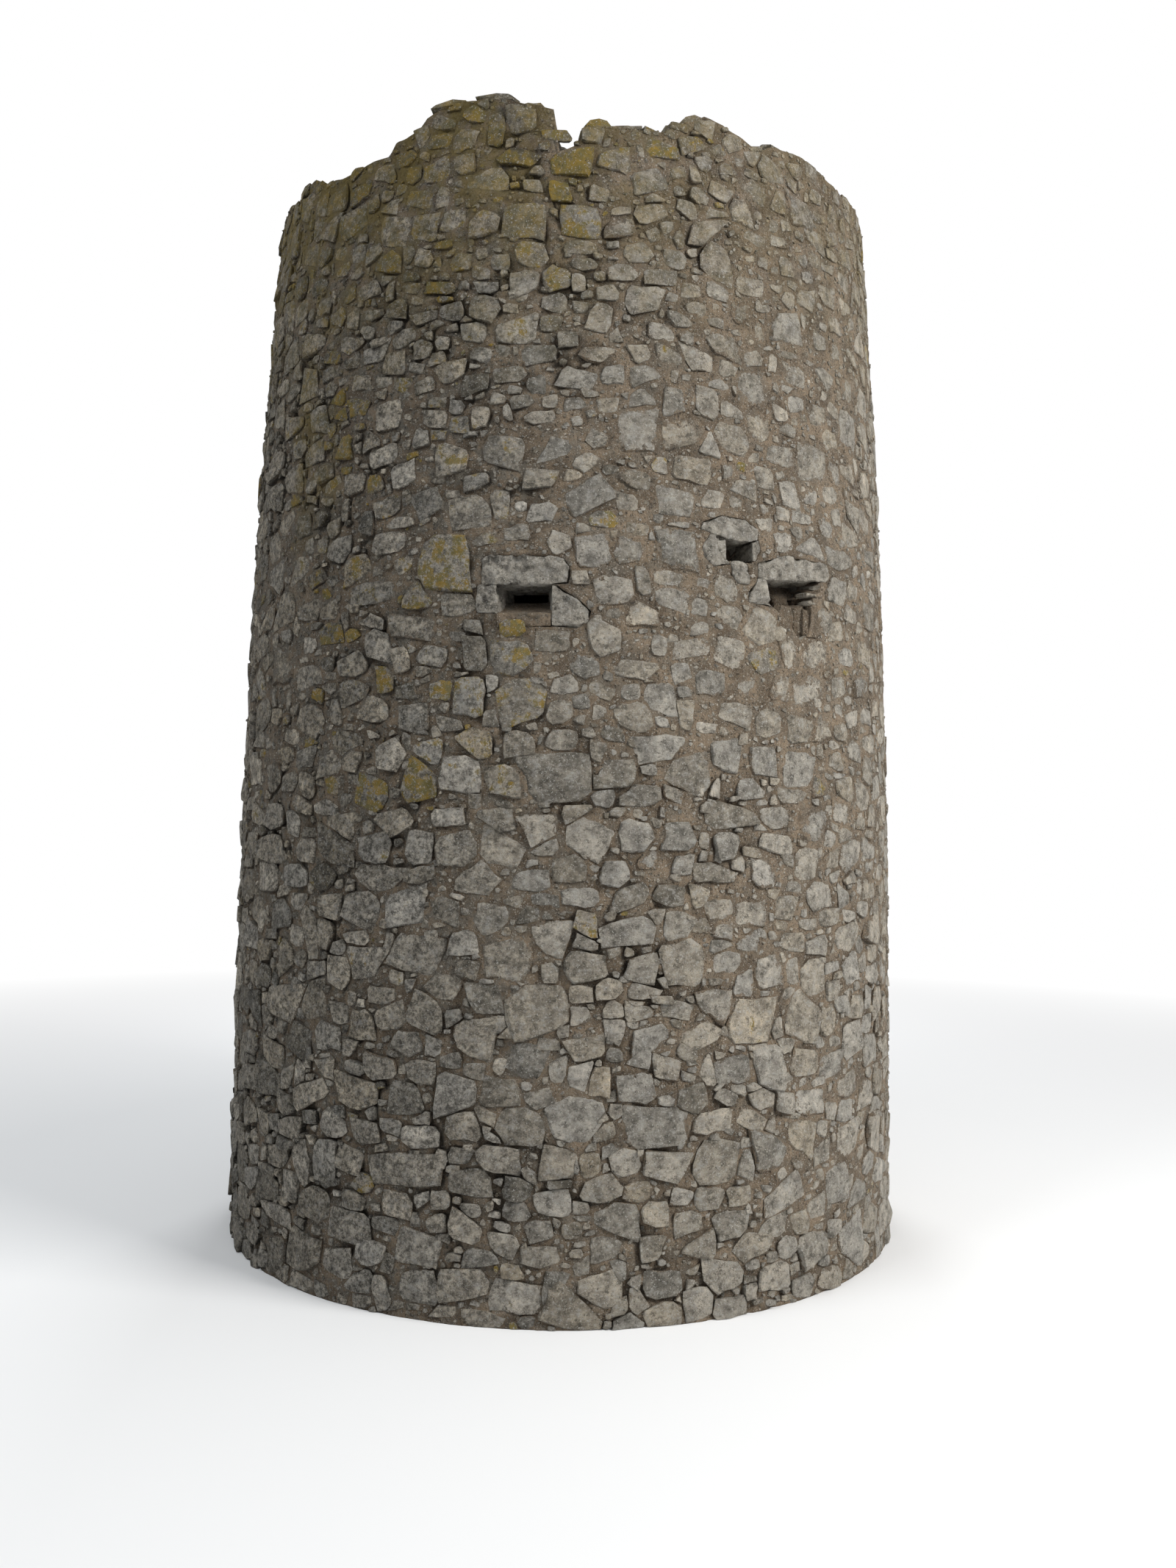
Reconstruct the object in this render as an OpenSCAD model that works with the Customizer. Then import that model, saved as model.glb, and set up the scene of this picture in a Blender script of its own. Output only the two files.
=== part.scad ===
// Round coastal watchtower of lime-mortared rubble, with a ruined parapet.
// Millimetres. The origin is the centre of the tower at ground level and +Z is up.
// The front loophole looks along -Y. Angles run from the front towards +X, to the right as seen from outside.

/* [Tower] */
// Outer radius of the wall at the ground
base_r = 3200; // [2900:10:3600]
// How far the outer face leans in between the ground and the top
batter = 320; // [100:10:450]
// How much of the lean gathers towards the top
batter_power = 2.5; // [1:0.1:3]
// Height from the ground to the highest stone left on the parapet
tower_h = 9800; // [9300:10:10400]
// How far dressed stones stand out from the rubble face
stone_proud = 15; // [5:1:40]

/* [Lower storey] */
// Inner radius of the lower room
lower_room_r = 1750; // [1500:10:1900]
// Thickness of the ground paving
ground_paving_t = 250; // [100:10:400]
// Height of the ledge that the lower vault springs from
lower_springing_z = 2900; // [2600:10:3100]
// Rise of the lower vault
lower_vault_rise = 1000; // [700:10:1200]

/* [Vaults and floors] */
// Width of the ledge where the wall steps back for a vault
ledge_w = 200; // [120:10:260]
// Masonry over the top of each vault
vault_crown_t = 250; // [150:10:350]
// Thickness of the paving on each vault
paving_t = 150; // [60:10:200]
// Side of the square hatch through each vault
hatch_w = 600; // [500:10:700]
// Distance of each hatch from the middle of the tower
hatch_offset = 900; // [600:10:1000]

/* [Upper storey] */
// Height from the upper floor to the ledge of its vault
upper_springing_h = 2400; // [2200:10:2600]
// Rise of the upper vault
upper_vault_rise = 1250; // [900:10:1350]

/* [Parapet] */
// Thickness of the parapet at its foot
parapet_t = 550; // [450:10:700]
// Depth of the deepest break below the highest stone
crown_break = 500; // [300:10:600]

/* [Loopholes] */
// Height of the loophole sills above the upper floor
sill_h = 1190; // [1000:10:1300]
// Width of the mouth on the outer face
mouth_w = 430; // [380:10:460]
// Height of the mouth
mouth_h = 220; // [180:5:260]
// Depth from the outer face to the throat, and of the dressed stones round the mouth
throat_depth = 400; // [300:10:500]
// Width of the throat
throat_w = 300; // [200:10:340]
// Length of the throat before the splay begins
throat_l = 60; // [20:5:120]
// How far the sill rises from its outer edge to the throat
sill_rise = 60; // [20:5:80]
// Thickness of the sill stone at its outer edge
sill_t = 110; // [80:5:150]
// Width of the splay on the room side
splay_w = 660; // [500:10:760]
// Height of the splay on the room side
splay_h = 500; // [380:10:600]
// Width of the lintel stone
lintel_w = 700; // [600:10:800]
// Height of the lintel stone
lintel_h = 235; // [180:5:280]
// How far the squared left jamb stone reaches into the wall
left_jamb_w = 165; // [120:5:220]
// How far the rough right jamb stone reaches into the wall
right_jamb_w = 300; // [220:10:360]
// How far the right jamb stone hangs below the sill's outer edge
right_jamb_drop = 120; // [80:5:160]

/* [Broken loophole] */
// Angle round the tower from the front
broken_angle = 44; // [42:0.5:46]
// Width of the hollow where the facing has fallen out
hollow_w = 680; // [600:10:740]
// Height of the hollow, taken from the other loopholes' sill line
hollow_h = 530; // [480:10:580]
// Depth of the hollow
broken_depth = 380; // [300:10:420]
// How far behind the outer face the fallen rubble starts to slope up
fill_setback = 30; // [10:5:80]
// Height of the lintel's lower end above the sill line
broken_head_h = 370; // [350:5:390]
// Width of the lintel stone
broken_lintel_w = 850; // [760:10:900]
// Height of the lintel stone with the tilt of its underside
broken_lintel_h = 235; // [200:5:260]
// Width of the gap left between the rubble and the lintel
broken_throat_w = 260; // [160:10:280]
// Height of the gap left between the rubble and the lintel
broken_throat_h = 160; // [120:5:170]

/* [Small loophole] */
// Distance round the wall face from the middle of the broken loophole
small_offset = 620; // [600:5:660]
// Height of its sill above the other sills
small_rise = 490; // [470:5:520]
// Width of the opening
small_w = 250; // [180:5:260]
// Height of the opening
small_h = 175; // [140:5:190]
// Width of the lintel stone
small_lintel_w = 540; // [480:10:580]
// Height of the lintel stone
small_lintel_h = 190; // [150:5:220]
// How far the left jamb stone reaches into the wall
small_left_jamb_w = 205; // [160:5:240]
// How far the right jamb stone reaches into the wall
small_right_jamb_w = 90; // [70:5:100]
// Height of the stone under the opening
small_sill_stone_h = 170; // [140:5:180]
// Depth of its dressed stones
small_stone_depth = 260; // [200:5:280]

/* [Doorway at the back] */
// Width of the raised doorway
doorway_w = 800; // [700:10:900]
// Height of the raised doorway above the upper floor
doorway_h = 1700; // [1600:10:1800]
// Depth of the doorway's dressed stones
doorway_stone_depth = 450; // [350:10:550]
// Height of the doorway's lintel
doorway_lintel_h = 280; // [200:10:320]
// How far the lintel bears on the wall at each end
doorway_lintel_bearing = 240; // [150:10:300]
// How far the longer jamb stones reach into the wall
long_stone = 330; // [250:10:400]
// How far the shorter jamb stones reach into the wall
short_stone = 200; // [140:10:240]
// Courses of stones in each jamb
jamb_courses = 6; // [5:1:8]
// Thickness of the doorway's threshold
threshold_t = 180; // [120:10:220]
// How far the threshold runs under the jambs at each end
threshold_bearing = 60; // [40:5:120]
// How far the passage widens on each side behind its dressed stones
rebate = 90; // [40:5:120]

/* [Hidden] */
$fn = 360;

// Eight sectors, each centred on a multiple of 45 degrees round the tower
SECTORS = ["front", "front_right", "right", "back_right", "back", "back_left", "left", "front_left"];
LOOPHOLES = ["front", "left"];

sector_angle = 360 / len(SECTORS);
doorway_angle = 180;

// Radii and levels that follow from the storeys
upper_room_r = lower_room_r + ledge_w;
upper_vault_r = upper_room_r + ledge_w;
upper_floor_z = lower_springing_z + lower_vault_rise + vault_crown_t + paving_t;
upper_springing_z = upper_floor_z + upper_springing_h;
wall_top_z = upper_springing_z + upper_vault_rise + vault_crown_t;
terrace_z = wall_top_z + paving_t;
sill_z = upper_floor_z + sill_h;
small_sill_z = sill_z + small_rise;

// A cutting body reaches this far past what it cuts
past = 100;
// A jamb stone starts this far inside the opening, which is then cut through it
jamb_tuck = 30;
// The curved batter is made of cones about this tall
cone_h = 850;

stone_warm = [0.64, 0.58, 0.49];
stone_grey = [0.60, 0.57, 0.51];
stone_lichen = [0.55, 0.50, 0.36];
dressed_grey = [0.68, 0.66, 0.62];
mortar_brown = [0.50, 0.42, 0.33];
paving_grey = [0.56, 0.53, 0.48];

// Outer radius at a height: the wall is almost upright below and leans in towards the top
function outer_r(z) = base_r - batter * pow(max(z, 0) / tower_h, batter_power);

parapet_inner_r = outer_r(wall_top_z) - parapet_t;

// Outer edge of the wall's section between two heights, moved outwards where a stone stands proud
function outer_edge(z0, z1, proud = 0) =
    let (steps = ceil((z1 - z0) / cone_h))
    [for (i = [0 : steps]) let (z = z0 + (z1 - z0) * i / steps) [outer_r(z) + proud, z]];

// The broken top of the parapet: angles round the tower, and the drop there as a share of the deepest break
broken_top = [
    [-180, 0.44], [-172, 0.38], [-166, 0.80], [-159, 0.76], [-156, 0.24], [-148, 0.18], [-138, 0.34],
    [-136, 0.64], [-125, 0.58], [-121, 0.30], [-113, 0.16], [-103, 0.12], [-99, 0.48], [-88, 0.52],
    [-84, 0.26], [-72, 0.22], [-65, 0.28], [-58, 0.36], [-54, 0.52], [-51, 0.32], [-46, 0.40],
    [-43, 0.62], [-37, 0.70], [-26, 0.66], [-24.5, 0.48], [-20, 0.34], [-18.5, 0.16], [-13, 0],
    [-7, 0.02], [-1, 0.20], [3, 0.28], [4, 0.98], [6.5, 0.88], [8.5, 0.54], [21, 0.54],
    [23, 0.38], [28, 0.12], [32, 0.20], [38, 0.40], [43, 0.22], [52, 0.20], [62, 0.30],
    [67, 0.22], [74, 0.12], [84, 0.22], [93, 0.16], [97, 0.52], [106, 0.60], [112, 0.38],
    [124, 0.32], [128, 0.62], [140, 0.66], [144, 0.30], [157, 0.18], [161, 0.40], [172, 0.48],
    [180, 0.44]
];

// Outlines of stones on the wall face, as shares of their width across and their height up
LINTEL = [
    [-0.48, 0], [0.30, 0], [0.48, 0.06], [0.50, 0.32], [0.49, 0.64], [0.43, 0.87],
    [0.36, 0.96], [-0.44, 1], [-0.49, 0.91]
];
SQUARED_JAMB = [[-1, -0.07], [0.97, 0.04], [1, 0.55], [0.91, 1], [-1, 1]];
ROUGH_JAMB = [
    [-1, 0.09], [0.12, 0.03], [0.63, 0], [0.92, 0.18], [1, 0.41], [0.75, 0.62],
    [0.35, 0.85], [0.12, 1], [-1, 1]
];
HOLLOW = [
    [-0.51, 0.85], [-0.51, 0.64], [-0.44, 0.34], [-0.43, 0.30], [-0.19, 0.11], [0.04, -0.17],
    [0.20, -0.04], [0.27, 0.55], [0.44, 0.66], [0.45, 0.94]
];
TILTED_LINTEL = [
    [-0.51, 0.02], [-0.42, 0], [0.38, 0.30], [0.49, 0.38], [0.49, 0.72], [0.45, 1],
    [-0.14, 0.98], [-0.39, 0.70], [-0.51, 0.55]
];
HOLLOW_LEFT_JAMB = [
    [-0.77, 0.33], [-0.37, 0.28], [-0.37, 0.75], [-0.63, 0.75], [-0.66, 0.64], [-0.78, 0.47]
];
HOLLOW_RIGHT_JAMB = [
    [0.15, -0.11], [0.34, -0.11], [0.49, 0.04], [0.51, 0.38], [0.47, 0.57], [0.22, 0.57]
];
SMALL_LINTEL = [
    [-0.65, 0.32], [-0.28, 0], [0.22, 0], [0.34, 0.11], [0.35, 0.58], [0.11, 0.95],
    [-0.30, 1], [-0.61, 0.63]
];
SMALL_LEFT_JAMB = [[-1, -0.17], [0.51, -0.34], [0.95, 0.11], [1, 0.57], [0.61, 1.28], [-1, 1.28]];
SMALL_RIGHT_JAMB = [[-1, 0], [0.50, 0.17], [1, 0.57], [0.84, 1.09], [0.28, 1.37], [-1, 1.37]];
SMALL_SILL = [[-0.28, -0.65], [-0.08, -1], [0.36, -1], [0.40, -0.35], [0.28, 0], [-0.32, 0]];
DOORWAY_LINTEL = [[-0.5, 0], [0.5, 0], [0.51, 0.79], [0.45, 1], [-0.48, 0.95]];

function sized(shape, w, h, foot = 0) = [for (point = shape) [point[0] * w, foot + point[1] * h]];

// A jamb reaches out from half the opening's width; a share below 0 is its inner side, cut by the opening
function jamb_outline(side, shape, inner, half, reach, h, foot = 0) = [
    for (point = shape) [side * (point[0] < 0 ? inner : half + point[0] * reach), foot + point[1] * h]
];

// Pieces in the wall are drawn with x to the right as seen from outside and -y outwards
module at_angle(angle) {
    rotate([0, 0, angle]) children();
}

module wall_sector(index, section) {
    at_angle((index - 0.5) * sector_angle - 90)
        rotate_extrude(angle = sector_angle) polygon(section);
}

// Storey walls
module plain_lower_wall(index) {
    wall_sector(index, concat(
        outer_edge(0, upper_floor_z),
        [
            [upper_room_r, upper_floor_z], [upper_room_r, lower_springing_z],
            [lower_room_r, lower_springing_z], [lower_room_r, 0]
        ]
    ));
}

module plain_upper_wall(index) {
    wall_sector(index, concat(
        outer_edge(upper_floor_z, wall_top_z),
        [
            [upper_vault_r, wall_top_z], [upper_vault_r, upper_springing_z],
            [upper_room_r, upper_springing_z], [upper_room_r, upper_floor_z]
        ]
    ));
}

// The broken outline of one parapet sector is cut square through its thickness
module parapet(index) {
    turns = index * sector_angle > 180 ? -1 : 0;
    middle = index * sector_angle + 360 * turns;
    first = middle - sector_angle / 2;
    last = middle + sector_angle / 2;
    rim_r = outer_r(tower_h);
    side_x = base_r * sin(sector_angle / 2);
    function drop(angle) = crown_break * lookup(angle > 180 ? angle - 360 : angle, broken_top);
    function rim(angle) = [rim_r * sin(angle - middle), tower_h - drop(angle)];
    // The list starts and ends at the back, so the sector there takes points from both ends of it
    breaks = [
        for (turn = [0, 360]) for (point = broken_top)
            let (angle = point[0] + turn)
            if (angle > first && angle < last && !(turn == 360 && point[0] == -180)) rim(angle)
    ];
    outline = concat(
        [[-side_x, wall_top_z - past], [-side_x, rim(first)[1]], rim(first)],
        breaks,
        [rim(last), [side_x, rim(last)[1]], [side_x, wall_top_z - past]]
    );
    color(stone_lichen) intersection() {
        wall_sector(index, concat(
            outer_edge(wall_top_z, tower_h),
            [[parapet_inner_r, tower_h], [parapet_inner_r, wall_top_z]]
        ));
        at_angle(middle) rotate([90, 0, 0])
            linear_extrude(height = base_r) polygon(outline);
    }
}

// Floors and vaults
module hatch(side) {
    translate([side * hatch_offset, 0, tower_h / 2])
        cube([hatch_w, hatch_w, tower_h + 2 * past], center = true);
}

// A domed vault levelled up with rubble: a drum on the ledge with a spherical hollow under it
module domed_vault(drum_r, room_r, springing_z, rise, side) {
    dome_r = (room_r * room_r + rise * rise) / (2 * rise);
    color(mortar_brown) difference() {
        translate([0, 0, springing_z]) cylinder(r = drum_r, h = rise + vault_crown_t);
        translate([0, 0, springing_z + rise - dome_r]) sphere(r = dome_r);
        hatch(side);
    }
}

module paving(radius, top_z, thickness) {
    color(paving_grey) translate([0, 0, top_z - thickness]) cylinder(r = radius, h = thickness);
}

module ground_floor() {
    paving(lower_room_r, ground_paving_t, ground_paving_t);
}

module lower_vault() {
    domed_vault(upper_room_r, lower_room_r, lower_springing_z, lower_vault_rise, -1);
}

module upper_floor() {
    difference() {
        paving(upper_room_r, upper_floor_z, paving_t);
        hatch(-1);
    }
}

module upper_vault() {
    domed_vault(upper_vault_r, upper_room_r, upper_springing_z, upper_vault_rise, 1);
}

module terrace_floor() {
    difference() {
        paving(parapet_inner_r, terrace_z, paving_t);
        hatch(1);
    }
}

// A stone's outline taken straight back into the wall; what it is cut by goes deeper
module stone_prism(outline, level_z, depth, deeper = 0) {
    translate([0, depth + deeper - outer_r(level_z), level_z]) rotate([90, 0, 0])
        linear_extrude(height = depth + deeper + past) polygon(outline);
}

// Gives prisms a face that follows the batter, a little proud of the rubble
module faced() {
    intersection() {
        children();
        rotate_extrude() polygon(concat(
            [[0, 0]], outer_edge(0, tower_h, stone_proud), [[0, tower_h]]
        ));
    }
}

// A plan outline between two heights
module plan_cut(outline, z0, z1) {
    translate([0, 0, z0]) linear_extrude(height = z1 - z0) polygon(outline);
}

// An outline seen from the side, in depth and height, taken the given distance to both sides
module side_cut(outline, half_w) {
    rotate([90, 0, 90]) translate([0, 0, -half_w])
        linear_extrude(height = 2 * half_w) polygon(outline);
}

// Splayed loophole: the mouth narrows to the throat over a rising sill, and the splay opens to the room
throat_y = throat_depth - outer_r(sill_z);
room_y = past - upper_room_r;
outside_y = -base_r - past;

module loophole_width() {
    flare = (mouth_w - throat_w) / 2 / throat_depth;
    mouth_half = throat_w / 2 + flare * (throat_y - outside_y);
    plan_cut([
        [-mouth_half, outside_y], [mouth_half, outside_y],
        [throat_w / 2, throat_y], [throat_w / 2, throat_y + throat_l],
        [splay_w / 2, room_y], [-splay_w / 2, room_y],
        [-throat_w / 2, throat_y + throat_l], [-throat_w / 2, throat_y]
    ], sill_z - splay_h, sill_z + mouth_h + splay_h);
}

module loophole_passage() {
    slope = sill_rise / throat_depth;
    throat_middle = sill_z + (sill_rise + mouth_h) / 2;
    intersection() {
        loophole_width();
        side_cut([
            [outside_y, sill_z + sill_rise - slope * (throat_y - outside_y)],
            [throat_y, sill_z + sill_rise], [throat_y + throat_l, sill_z + sill_rise],
            [room_y, throat_middle - splay_h / 2], [room_y, throat_middle + splay_h / 2],
            [throat_y + throat_l, sill_z + mouth_h], [outside_y, sill_z + mouth_h]
        ], splay_w);
    }
}

module sill_prism() {
    half = mouth_w / 2;
    intersection() {
        stone_prism(
            [[-half, -sill_t], [half, -sill_t], [half, sill_rise], [-half, sill_rise]],
            sill_z, throat_depth
        );
        loophole_width();
    }
}

module lintel_prism() {
    stone_prism(sized(LINTEL, lintel_w, lintel_h, mouth_h), sill_z, throat_depth);
}

module jamb_prisms() {
    inner = throat_w / 2 - jamb_tuck;
    half = mouth_w / 2;
    stone_prism(
        jamb_outline(-1, SQUARED_JAMB, inner, half, left_jamb_w, mouth_h), sill_z, throat_depth
    );
    stone_prism(jamb_outline(
        1, ROUGH_JAMB, inner, half, right_jamb_w, mouth_h + right_jamb_drop, -right_jamb_drop
    ), sill_z, throat_depth);
}

module loophole_sill() {
    color(mortar_brown) difference() {
        faced() sill_prism();
        loophole_passage();
    }
}

module loophole_lintel() {
    color(dressed_grey) faced() lintel_prism();
}

module loophole_jambs() {
    color(dressed_grey) difference() {
        faced() jamb_prisms();
        loophole_width();
    }
}

// The wall is cut by whole stones, so that no two cuts share a face
module loophole_cut() {
    loophole_passage();
    sill_prism();
    jamb_prisms();
    lintel_prism();
}

// Broken loophole: the facing has fallen out under the lintel, and rubble slopes up inside the hollow
hollow_outline = sized(HOLLOW, hollow_w, hollow_h);

module hollow_prism(deeper = 0) {
    stone_prism(hollow_outline, sill_z, broken_depth, deeper);
}

module broken_gap_cut() {
    head_z = sill_z + broken_head_h;
    left = -0.41 * hollow_w;
    right = left + broken_throat_w;
    plan_cut([
        [left, outside_y], [right, outside_y], [right, room_y], [left, room_y]
    ], head_z - broken_throat_h, head_z);
}

module broken_lintel_prism(deeper = 0) {
    stone_prism(
        sized(TILTED_LINTEL, broken_lintel_w, broken_lintel_h, broken_head_h),
        sill_z, broken_depth, deeper
    );
}

module broken_jamb_prisms() {
    for (shape = [HOLLOW_LEFT_JAMB, HOLLOW_RIGHT_JAMB])
        stone_prism(sized(shape, hollow_w, hollow_h), sill_z, broken_depth);
}

module broken_loophole_lintel() {
    color(dressed_grey) faced() broken_lintel_prism();
}

module broken_loophole_jambs() {
    color(dressed_grey) difference() {
        faced() broken_jamb_prisms();
        hollow_prism(past);
        broken_lintel_prism(past);
    }
}

module broken_loophole_fill() {
    face_y = -outer_r(sill_z);
    foot_z = sill_z + min([for (point = hollow_outline) point[1]]);
    color(mortar_brown) difference() {
        intersection() {
            hollow_prism();
            side_cut([
                [face_y + fill_setback, foot_z], [face_y + broken_depth, foot_z],
                [face_y + broken_depth, foot_z + hollow_h]
            ], base_r);
        }
        broken_gap_cut();
        broken_lintel_prism(past);
    }
}

module broken_loophole_cut() {
    hollow_prism();
    broken_gap_cut();
    broken_lintel_prism();
    broken_jamb_prisms();
}

// Small loophole, higher and left of the broken one, straight through the wall
small_angle = broken_angle - small_offset / outer_r(small_sill_z) * 180 / PI;

module small_passage() {
    plan_cut([
        [-small_w / 2, outside_y], [small_w / 2, outside_y],
        [small_w / 2, room_y], [-small_w / 2, room_y]
    ], small_sill_z, small_sill_z + small_h);
}

module small_lintel_prism(deeper = 0) {
    stone_prism(
        sized(SMALL_LINTEL, small_lintel_w, small_lintel_h, small_h),
        small_sill_z, small_stone_depth, deeper
    );
}

module small_jamb_prisms(deeper = 0) {
    half = small_w / 2;
    inner = half - jamb_tuck;
    stone_prism(
        jamb_outline(-1, SMALL_LEFT_JAMB, inner, half, small_left_jamb_w, small_h),
        small_sill_z, small_stone_depth, deeper
    );
    stone_prism(
        jamb_outline(1, SMALL_RIGHT_JAMB, inner, half, small_right_jamb_w, small_h),
        small_sill_z, small_stone_depth, deeper
    );
}

module small_sill_prism() {
    stone_prism(sized(SMALL_SILL, small_w, small_sill_stone_h), small_sill_z, small_stone_depth);
}

// Where the stones of the two loopholes would meet, those of the small one give way
module broken_stones_beside() {
    at_angle(broken_angle - small_angle) {
        broken_lintel_prism();
        broken_jamb_prisms();
    }
}

module small_loophole_lintel() {
    color(dressed_grey) difference() {
        faced() small_lintel_prism();
        broken_stones_beside();
    }
}

module small_loophole_jambs() {
    color(dressed_grey) difference() {
        faced() small_jamb_prisms();
        small_passage();
        small_lintel_prism(past);
        broken_stones_beside();
    }
}

module small_loophole_sill() {
    color(dressed_grey) difference() {
        faced() small_sill_prism();
        small_jamb_prisms(past);
        broken_stones_beside();
    }
}

module small_loophole_cut() {
    small_passage();
    small_lintel_prism();
    small_jamb_prisms();
    small_sill_prism();
}

// Raised doorway with long-and-short jambs, wider behind its dressed stones
module doorway_passage() {
    half = doorway_w / 2;
    back_y = doorway_stone_depth - outer_r(upper_floor_z);
    plan_cut([
        [-half, outside_y], [half, outside_y], [half, back_y],
        [half + rebate, back_y], [half + rebate, room_y],
        [-half - rebate, room_y], [-half - rebate, back_y], [-half, back_y]
    ], upper_floor_z - past, upper_floor_z + doorway_h);
}

// A jamb stands on the threshold and the wall below; its cut in the wall starts lower and further in
module doorway_jamb_prism(side, foot = 0, tuck = 0) {
    course_h = doorway_h / jamb_courses;
    half = doorway_w / 2;
    function reach(i) = half + (i % 2 == 0 ? long_stone : short_stone);
    stone_prism(concat(
        [[side * (half - tuck), foot], [side * reach(0), foot]],
        [for (i = [0 : jamb_courses - 1]) for (end = [0, 1]) [side * reach(i), (i + end) * course_h]],
        [[side * (half - tuck), doorway_h]]
    ), upper_floor_z, doorway_stone_depth);
}

module doorway_lintel_prism() {
    w = doorway_w + 2 * doorway_lintel_bearing;
    stone_prism(
        sized(DOORWAY_LINTEL, w, doorway_lintel_h, doorway_h), upper_floor_z, doorway_stone_depth
    );
}

module threshold_prism(top = 0) {
    end = doorway_w / 2 + threshold_bearing;
    stone_prism(
        [[-end, -threshold_t], [end, -threshold_t], [end, top], [-end, top]],
        upper_floor_z, doorway_stone_depth
    );
}

module doorway_jambs() {
    color(dressed_grey) faced() for (side = [-1, 1]) doorway_jamb_prism(side);
}

module doorway_lintel() {
    color(dressed_grey) faced() doorway_lintel_prism();
}

module doorway_threshold() {
    color(dressed_grey) faced() threshold_prism();
}

module doorway_cut() {
    doorway_passage();
    doorway_lintel_prism();
    for (side = [-1, 1]) doorway_jamb_prism(side, -past, jamb_tuck);
}

// Each wall sector with what passes through it
module lower_wall(index) {
    color(stone_warm) difference() {
        plain_lower_wall(index);
        if (SECTORS[index] == "back") at_angle(doorway_angle) threshold_prism(past);
    }
}

module upper_wall(index) {
    name = SECTORS[index];
    color(stone_grey) difference() {
        plain_upper_wall(index);
        if (name == "front" || name == "left") at_angle(index * sector_angle) loophole_cut();
        if (name == "front_right") at_angle(broken_angle) broken_loophole_cut();
        if (name == "front_right") at_angle(small_angle) small_loophole_cut();
        if (name == "back") at_angle(doorway_angle) doorway_cut();
    }
}

ground_floor();
lower_vault();
upper_floor();
upper_vault();
terrace_floor();
for (index = [0 : len(SECTORS) - 1]) {
    lower_wall(index);
    upper_wall(index);
    parapet(index);
}
for (side = LOOPHOLES) at_angle(search([side], SECTORS)[0] * sector_angle) {
    loophole_lintel();
    loophole_jambs();
    loophole_sill();
}
at_angle(broken_angle) {
    broken_loophole_lintel();
    broken_loophole_jambs();
    broken_loophole_fill();
}
at_angle(small_angle) {
    small_loophole_lintel();
    small_loophole_jambs();
    small_loophole_sill();
}
at_angle(doorway_angle) {
    doorway_lintel();
    doorway_jambs();
    doorway_threshold();
}
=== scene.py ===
# %% [markdown]
# This lesson dresses the measured model of a round stone watchtower. The real tower is rubble: unworked
# field stones of every size, laid in brown lime mortar, with a few squared stones round its small openings
# and a broken top. The measured model comes first and is never moved or changed. Every piece made here is
# set on it, in metres.

import math

import bmesh
import bpy
import numpy as np
from mathutils import Matrix, Vector


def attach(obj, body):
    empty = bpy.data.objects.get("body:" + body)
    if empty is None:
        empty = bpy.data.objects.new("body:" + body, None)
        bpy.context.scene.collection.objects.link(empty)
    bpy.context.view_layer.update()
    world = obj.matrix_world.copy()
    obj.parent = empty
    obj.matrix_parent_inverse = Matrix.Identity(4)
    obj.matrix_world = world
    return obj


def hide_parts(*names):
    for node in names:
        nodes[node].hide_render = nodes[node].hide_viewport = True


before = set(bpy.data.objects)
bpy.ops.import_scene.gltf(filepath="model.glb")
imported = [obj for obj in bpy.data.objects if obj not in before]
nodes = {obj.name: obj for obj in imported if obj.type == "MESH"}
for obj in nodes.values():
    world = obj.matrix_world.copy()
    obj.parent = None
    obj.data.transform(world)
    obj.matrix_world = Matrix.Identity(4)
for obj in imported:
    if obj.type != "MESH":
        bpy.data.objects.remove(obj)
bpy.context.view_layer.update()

# %% [markdown]
# The photograph looks straight at the tower from below its middle. Its row at the level of the eye gives the
# camera's tilt and the height of the eye, 3.85 m above the tower's foot, and the two edges of the wall give
# the distance of 13.1 m. The camera is placed from those numbers and not by eye: it looks a little up and a
# little past the tower's axis, and it is rolled by under a degree. All of it is then turned 6.4 degrees
# about the tower, so the front loophole faces -Y.

# %% Place the camera
EYE_HEIGHT = 3.85
DISTANCE = 13.10
VIEW_TURN = math.radians(6.4)
PHOTO_HEIGHT = 2133
EYE_ROW = 1121
SENSOR = 36.0
FOCAL_ROWS = 1750
yaw = math.radians(0.955)
pitch = math.atan((EYE_ROW - PHOTO_HEIGHT / 2) / FOCAL_ROWS)
roll = math.radians(0.70)
forward = Vector((math.sin(yaw) * math.cos(pitch), math.cos(yaw) * math.cos(pitch), math.sin(pitch)))
right = forward.cross(Vector((0, 0, 1))).normalized()
up = right.cross(forward)
rolled_right = right * math.cos(roll) + up * math.sin(roll)
rolled_up = up * math.cos(roll) - right * math.sin(roll)
axes = Matrix((rolled_right, rolled_up, -forward)).transposed().to_4x4()
camera_data = bpy.data.cameras.new("camera")
camera_data.sensor_width = SENSOR
camera_data.lens = SENSOR * FOCAL_ROWS / PHOTO_HEIGHT
camera_data.clip_end = 400
camera = bpy.data.objects.new("camera", camera_data)
stand = Matrix.Rotation(VIEW_TURN, 4, "Z") @ Matrix.Translation((0, -DISTANCE, EYE_HEIGHT))
camera.matrix_world = stand @ axes
bpy.context.scene.collection.objects.link(camera)
bpy.context.scene.camera = camera
print("camera at", [round(v, 2) for v in camera.matrix_world.translation])
print("lens", round(camera_data.lens, 1), "mm")

# %% [markdown]
# Soft light falls on the real tower from all round, and rather more of it from the right. A pale world does
# the first and a large area light the second. Weaker ones from the left and from behind keep the dark sides
# readable. The lamps are kept at a level where a colour comes out about as it is written, so the finish is
# judged by its own colours. The background is white to the camera only, which puts no extra light on the
# stone.

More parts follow.
